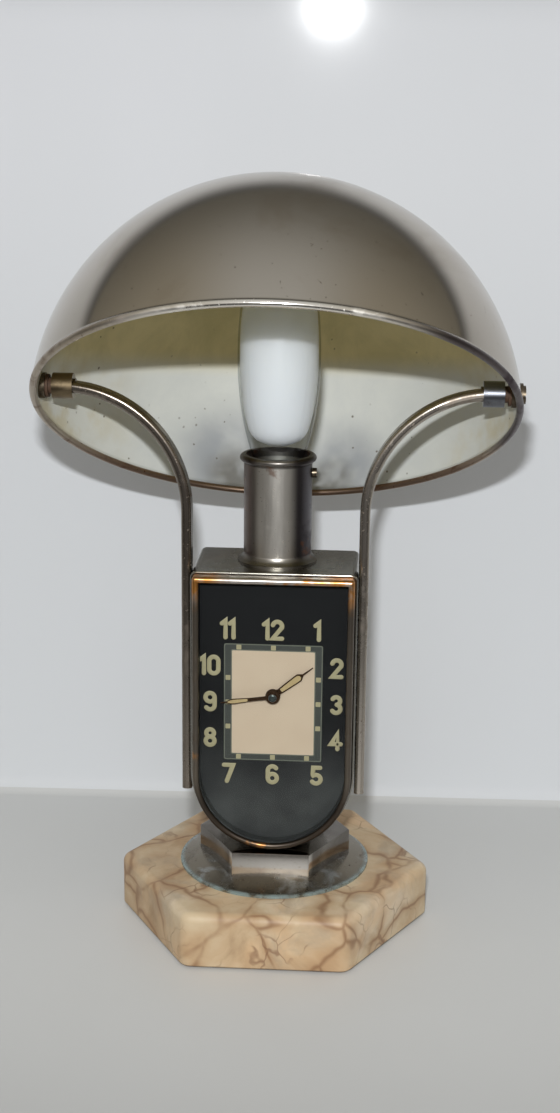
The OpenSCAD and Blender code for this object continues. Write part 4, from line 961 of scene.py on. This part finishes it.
def make_hands():
    dark = plated_metal("hand_bronze", srgb(84, 62, 46), srgb(40, 32, 28), 0.35, 0.5, 0.1, 300).material
    lume = print_paint("hand_lume", srgb(206, 182, 134), srgb(178, 150, 104), 400)
    hour_frame = [(1.2, 3.4), (1.4, 6), (1.7, 12.5), (1.7, 14.2), (0.35, 16.2), (0.16, 21.5)]
    hour_paint = [(0.75, 4.4), (0.85, 6), (1.2, 12.5), (1.15, 14), (0.5, 14.8)]
    minute_frame = [(0.8, 3.2), (0.75, 8), (0.8, 10.5), (1.15, 17), (0.9, 18.6), (0.3, 20), (0.14, 22.5)]
    minute_paint = [(0.55, 10.8), (0.8, 16.8), (0.6, 18.3), (0.2, 19.4)]

    def metres(line):
        return [(x * MM, z * MM) for x, z in line]

    make_hand("hour_pointer", "hour_hand", "hour", HOUR_ANGLE, metres(hour_frame), metres(hour_paint),
              3.2 * MM, dark, lume)
    make_hand("minute_pointer", "minute_hand", "minute", MINUTE_ANGLE, metres(minute_frame),
              metres(minute_paint), 3 * MM, dark, lume)
    hub_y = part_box("center_arbor")[0].y
    profile = [(TIP_R, -0.25 * MM), (1.0 * MM, -0.22 * MM), (1.6 * MM, 0), (1.7 * MM, 0.3 * MM),
               (1.7 * MM, 0.68 * MM)]
    hub = plated_metal("hub_dark", srgb(92, 98, 96), srgb(50, 54, 54), 0.3, 0.4, 0.1, 400).material
    cap = lathe("hub_cap", profile, [hub], SMALL_SEGMENTS)
    forwards = Matrix.Rotation(-math.pi / 2, 4, "X")
    cap.data.transform(Matrix.Translation((dial_at.x, hub_y, dial_at.z)) @ forwards)
    stand_in(cap, "minute", "hand_black")


# Stage, light and camera

def make_stage():
    wall = Paint("wall_white")
    # Painted light: the wall is lighter and bluer upwards.
    upwards = wall.span(wall.part("Z"), 0.16, WALL_FADE)
    painted_light_upwards = wall.mix(upwards, srgb(225, 228, 232), srgb(234, 236, 241))
    bands = wall.span(wall.noise(5, 3, 0.5, at=wall.stretch((1, 1, 0.25))), 0.35, 0.65, 0.0, 0.5)
    near_white = wall.mix(bands, painted_light_upwards, srgb(222, 225, 228))
    # Painted shade: the wall darkens to grey towards its top edge.
    faded = wall.span(wall.part("Z"), WALL_FADE, WALL_H)
    wall.set(base_color=wall.mix(faded, near_white, srgb(80, 80, 80)))
    wall.set(roughness=wall.span(wall.noise(30, 4), 0.3, 0.7, 0.085, 0.1))
    wall.set(specular_ior_level=wall.span(wall.part("Z"), 0.0, 0.05, 0.0, 0.045))
    back = wall.nodes.new("ShaderNodeNewGeometry").outputs["Backfacing"]
    through = wall.nodes.new("ShaderNodeBsdfTransparent")
    join = wall.nodes.new("ShaderNodeMixShader")
    wall.put(back, join.inputs[0])
    wall.links.new(wall.shader.outputs[0], join.inputs[1])
    wall.links.new(through.outputs[0], join.inputs[2])
    wall.links.new(join.outputs[0], wall.output.inputs["Surface"])
    floor = Paint("floor_pale")
    pale = floor.mix(floor.noise(9, 3), srgb(215, 216, 216), srgb(209, 210, 209))
    # Painted shade: the floor darkens towards its front edge.
    towards_front = floor.span(floor.part("Y"), FLOOR_FADE_Y, FLOOR_FRONT_Y)
    floor.set(base_color=floor.mix(towards_front, pale, srgb(112, 111, 109)))
    floor.set(roughness=0.45, specular_ior_level=0.35)
    turn_up = arc((WALL_Y - WALL_ROUND, WALL_ROUND), WALL_ROUND, -90, 0, 12)

    def strip(name, line, material):
        verts = [(side * STAGE_HALF, y, z) for y, z in line for side in (-1, 1)]
        faces = [(2 * k, 2 * k + 1, 2 * k + 3, 2 * k + 2) for k in range(len(line) - 1)]
        return add_mesh(name, verts, faces, [material])

    ground = strip("floor", [(FLOOR_FRONT_Y, 0)] + turn_up[:7], floor.material)
    upright = strip("wall", turn_up[6:] + [(WALL_Y, WALL_H)], wall.material)
    behind = Vector((0, WALL_Y, 0))
    turn = Matrix.Translation(behind) @ Matrix.Rotation(WALL_TURN, 4, "Z") @ Matrix.Translation(-behind)
    ground.data.transform(turn)
    upright.data.transform(turn)
    for piece, outward in ((ground, Vector((0, 0, 1))), (upright, Vector((0, -1, 0)))):
        widest = max(piece.data.polygons, key=lambda face: face.area)
        if widest.normal.dot(outward) < 0:
            piece.data.flip_normals()


def room_light(tree):
    """Colour of the room by direction, fitted to the photo: lighter overhead and in front, else dark."""
    place = tree.nodes.new("ShaderNodeTexCoord").outputs["Generated"]
    split = tree.nodes.new("ShaderNodeSeparateXYZ")
    tree.links.new(place, split.inputs[0])
    aside = tree.nodes.new("ShaderNodeMath")
    aside.operation = "ABSOLUTE"
    tree.links.new(split.outputs["X"], aside.inputs[0])

    def share(source, low, high):
        node = tree.nodes.new("ShaderNodeMapRange")
        node.interpolation_type = "SMOOTHSTEP"
        tree.links.new(source, node.inputs[0])
        node.inputs[1].default_value = low
        node.inputs[2].default_value = high
        return node.outputs[0]

    def blend(factor, first, second):
        node = tree.nodes.new("ShaderNodeMix")
        node.data_type = "RGBA"
        for value, index in ((factor, 0), (first, MIX_FIRST), (second, MIX_SECOND)):
            if isinstance(value, bpy.types.NodeSocket):
                tree.links.new(value, node.inputs[index])
            else:
                node.inputs[index].default_value = value
        return node.outputs[MIX_RESULT]

    level = blend(share(split.outputs["Y"], 0.1, -0.75), ROOM_SIDE, ROOM_FRONT)
    ceiling = blend(share(aside.outputs[0], 0.1, 0.7), ROOM_TOP, ROOM_TOP_SIDE)
    ceiling = blend(share(split.outputs["Y"], 0.9, -0.45), ROOM_TOP_BACK, ceiling)
    colour = blend(share(split.outputs["Z"], 0.08, 0.4), level, ceiling)
    return blend(share(split.outputs["Z"], -0.1, 0.04), ROOM_BELOW, colour)


def make_light():
    lamp = bpy.data.lights.new("flash", "AREA")
    lamp.shape = "ELLIPSE"
    lamp.size, lamp.size_y = FLASH_SIZE
    lamp.energy = FLASH_POWER
    lamp.color = FLASH_COLOUR
    flash = bpy.data.objects.new("flash", lamp)
    bpy.context.collection.objects.link(flash)
    flash.location = FLASH_AT
    aim = Vector(FLASH_AIM) - flash.location
    flash.rotation_euler = aim.to_track_quat("-Z", "Y").to_euler()
    world = bpy.data.worlds.new("room")
    bpy.context.scene.world = world
    world.use_nodes = True
    tree = world.node_tree
    tree.nodes.clear()
    output = tree.nodes.new("ShaderNodeOutputWorld")
    room = tree.nodes.new("ShaderNodeBackground")
    seen = tree.nodes.new("ShaderNodeBackground")
    seen.inputs[0].default_value = (1, 1, 1, 1)
    join = tree.nodes.new("ShaderNodeMixShader")
    ray = tree.nodes.new("ShaderNodeLightPath")
    tree.links.new(room_light(tree), room.inputs[0])
    tree.links.new(ray.outputs["Is Camera Ray"], join.inputs[0])
    tree.links.new(room.outputs[0], join.inputs[1])
    tree.links.new(seen.outputs[0], join.inputs[2])
    tree.links.new(join.outputs[0], output.inputs["Surface"])


def make_camera():
    data = bpy.data.cameras.new("camera")
    data.sensor_fit = "VERTICAL"
    data.sensor_height = SENSOR_H
    data.lens = FOCAL_PX * SENSOR_H / PICTURE_H
    data.clip_start = 0.01
    camera = bpy.data.objects.new("camera", data)
    bpy.context.collection.objects.link(camera)
    turn = (Matrix.Rotation(math.radians(CAMERA_PAN), 4, "Z")
            @ Matrix.Rotation(math.radians(CAMERA_TILT), 4, "X")
            @ Matrix.Rotation(math.radians(CAMERA_ROLL), 4, "Y"))
    level = Matrix.Rotation(math.pi / 2, 4, "X")
    camera.matrix_world = Matrix.Translation(CAMERA_AT) @ turn @ level
    bpy.context.scene.camera = camera


def dress_nodes():
    """Gives every CAD node that still shows its material."""
    chrome_aged, bezel, old_brass, plain_steel = chrome(), bezel_metal(), brass(), steel()
    glass = clear_glass("glass_clear", (0.94, 0.97, 0.97, 1), 0.02, 0.2)
    by_slot = {"felt": felt(), "marble": old_brass, "brass": old_brass, "steel": plain_steel,
               "chrome": chrome_aged, "worn_chrome": bezel, "collar_metal": collar_metal(),
               "shade_metal": chrome_aged, "dial_black": dial_paint(), "hand_black": plain_steel,
               "clear_glass": glass, "opal_glass": glass, "porcelain": ceramic(), "fibre": fibre()}
    arms = arm_metal()
    browned = pivot_metal()
    special = {"foot_disc": foot_metal(), "holder_sleeve": sleeve_metal(), "arm_left": arms,
               "arm_right": arms, "pivot_screws": browned, "shade_cups": browned, "shade_pads": browned,
               "holder_screw": browned}
    slots = {part["node"]: part["material_slot"] for part in record["subparts"]}
    for name, node in nodes.items():
        material = special.get(name) or by_slot[slots[name]]
        for slot in node.material_slots:
            slot.link = "OBJECT"
            slot.material = material


bpy.context.scene.view_settings.view_transform = "Standard"
make_camera()
make_stage()
make_light()
dress_nodes()
make_marble()
make_boss(boss_metal())
make_shade()
make_bulb()
make_dial_print()
make_hands()
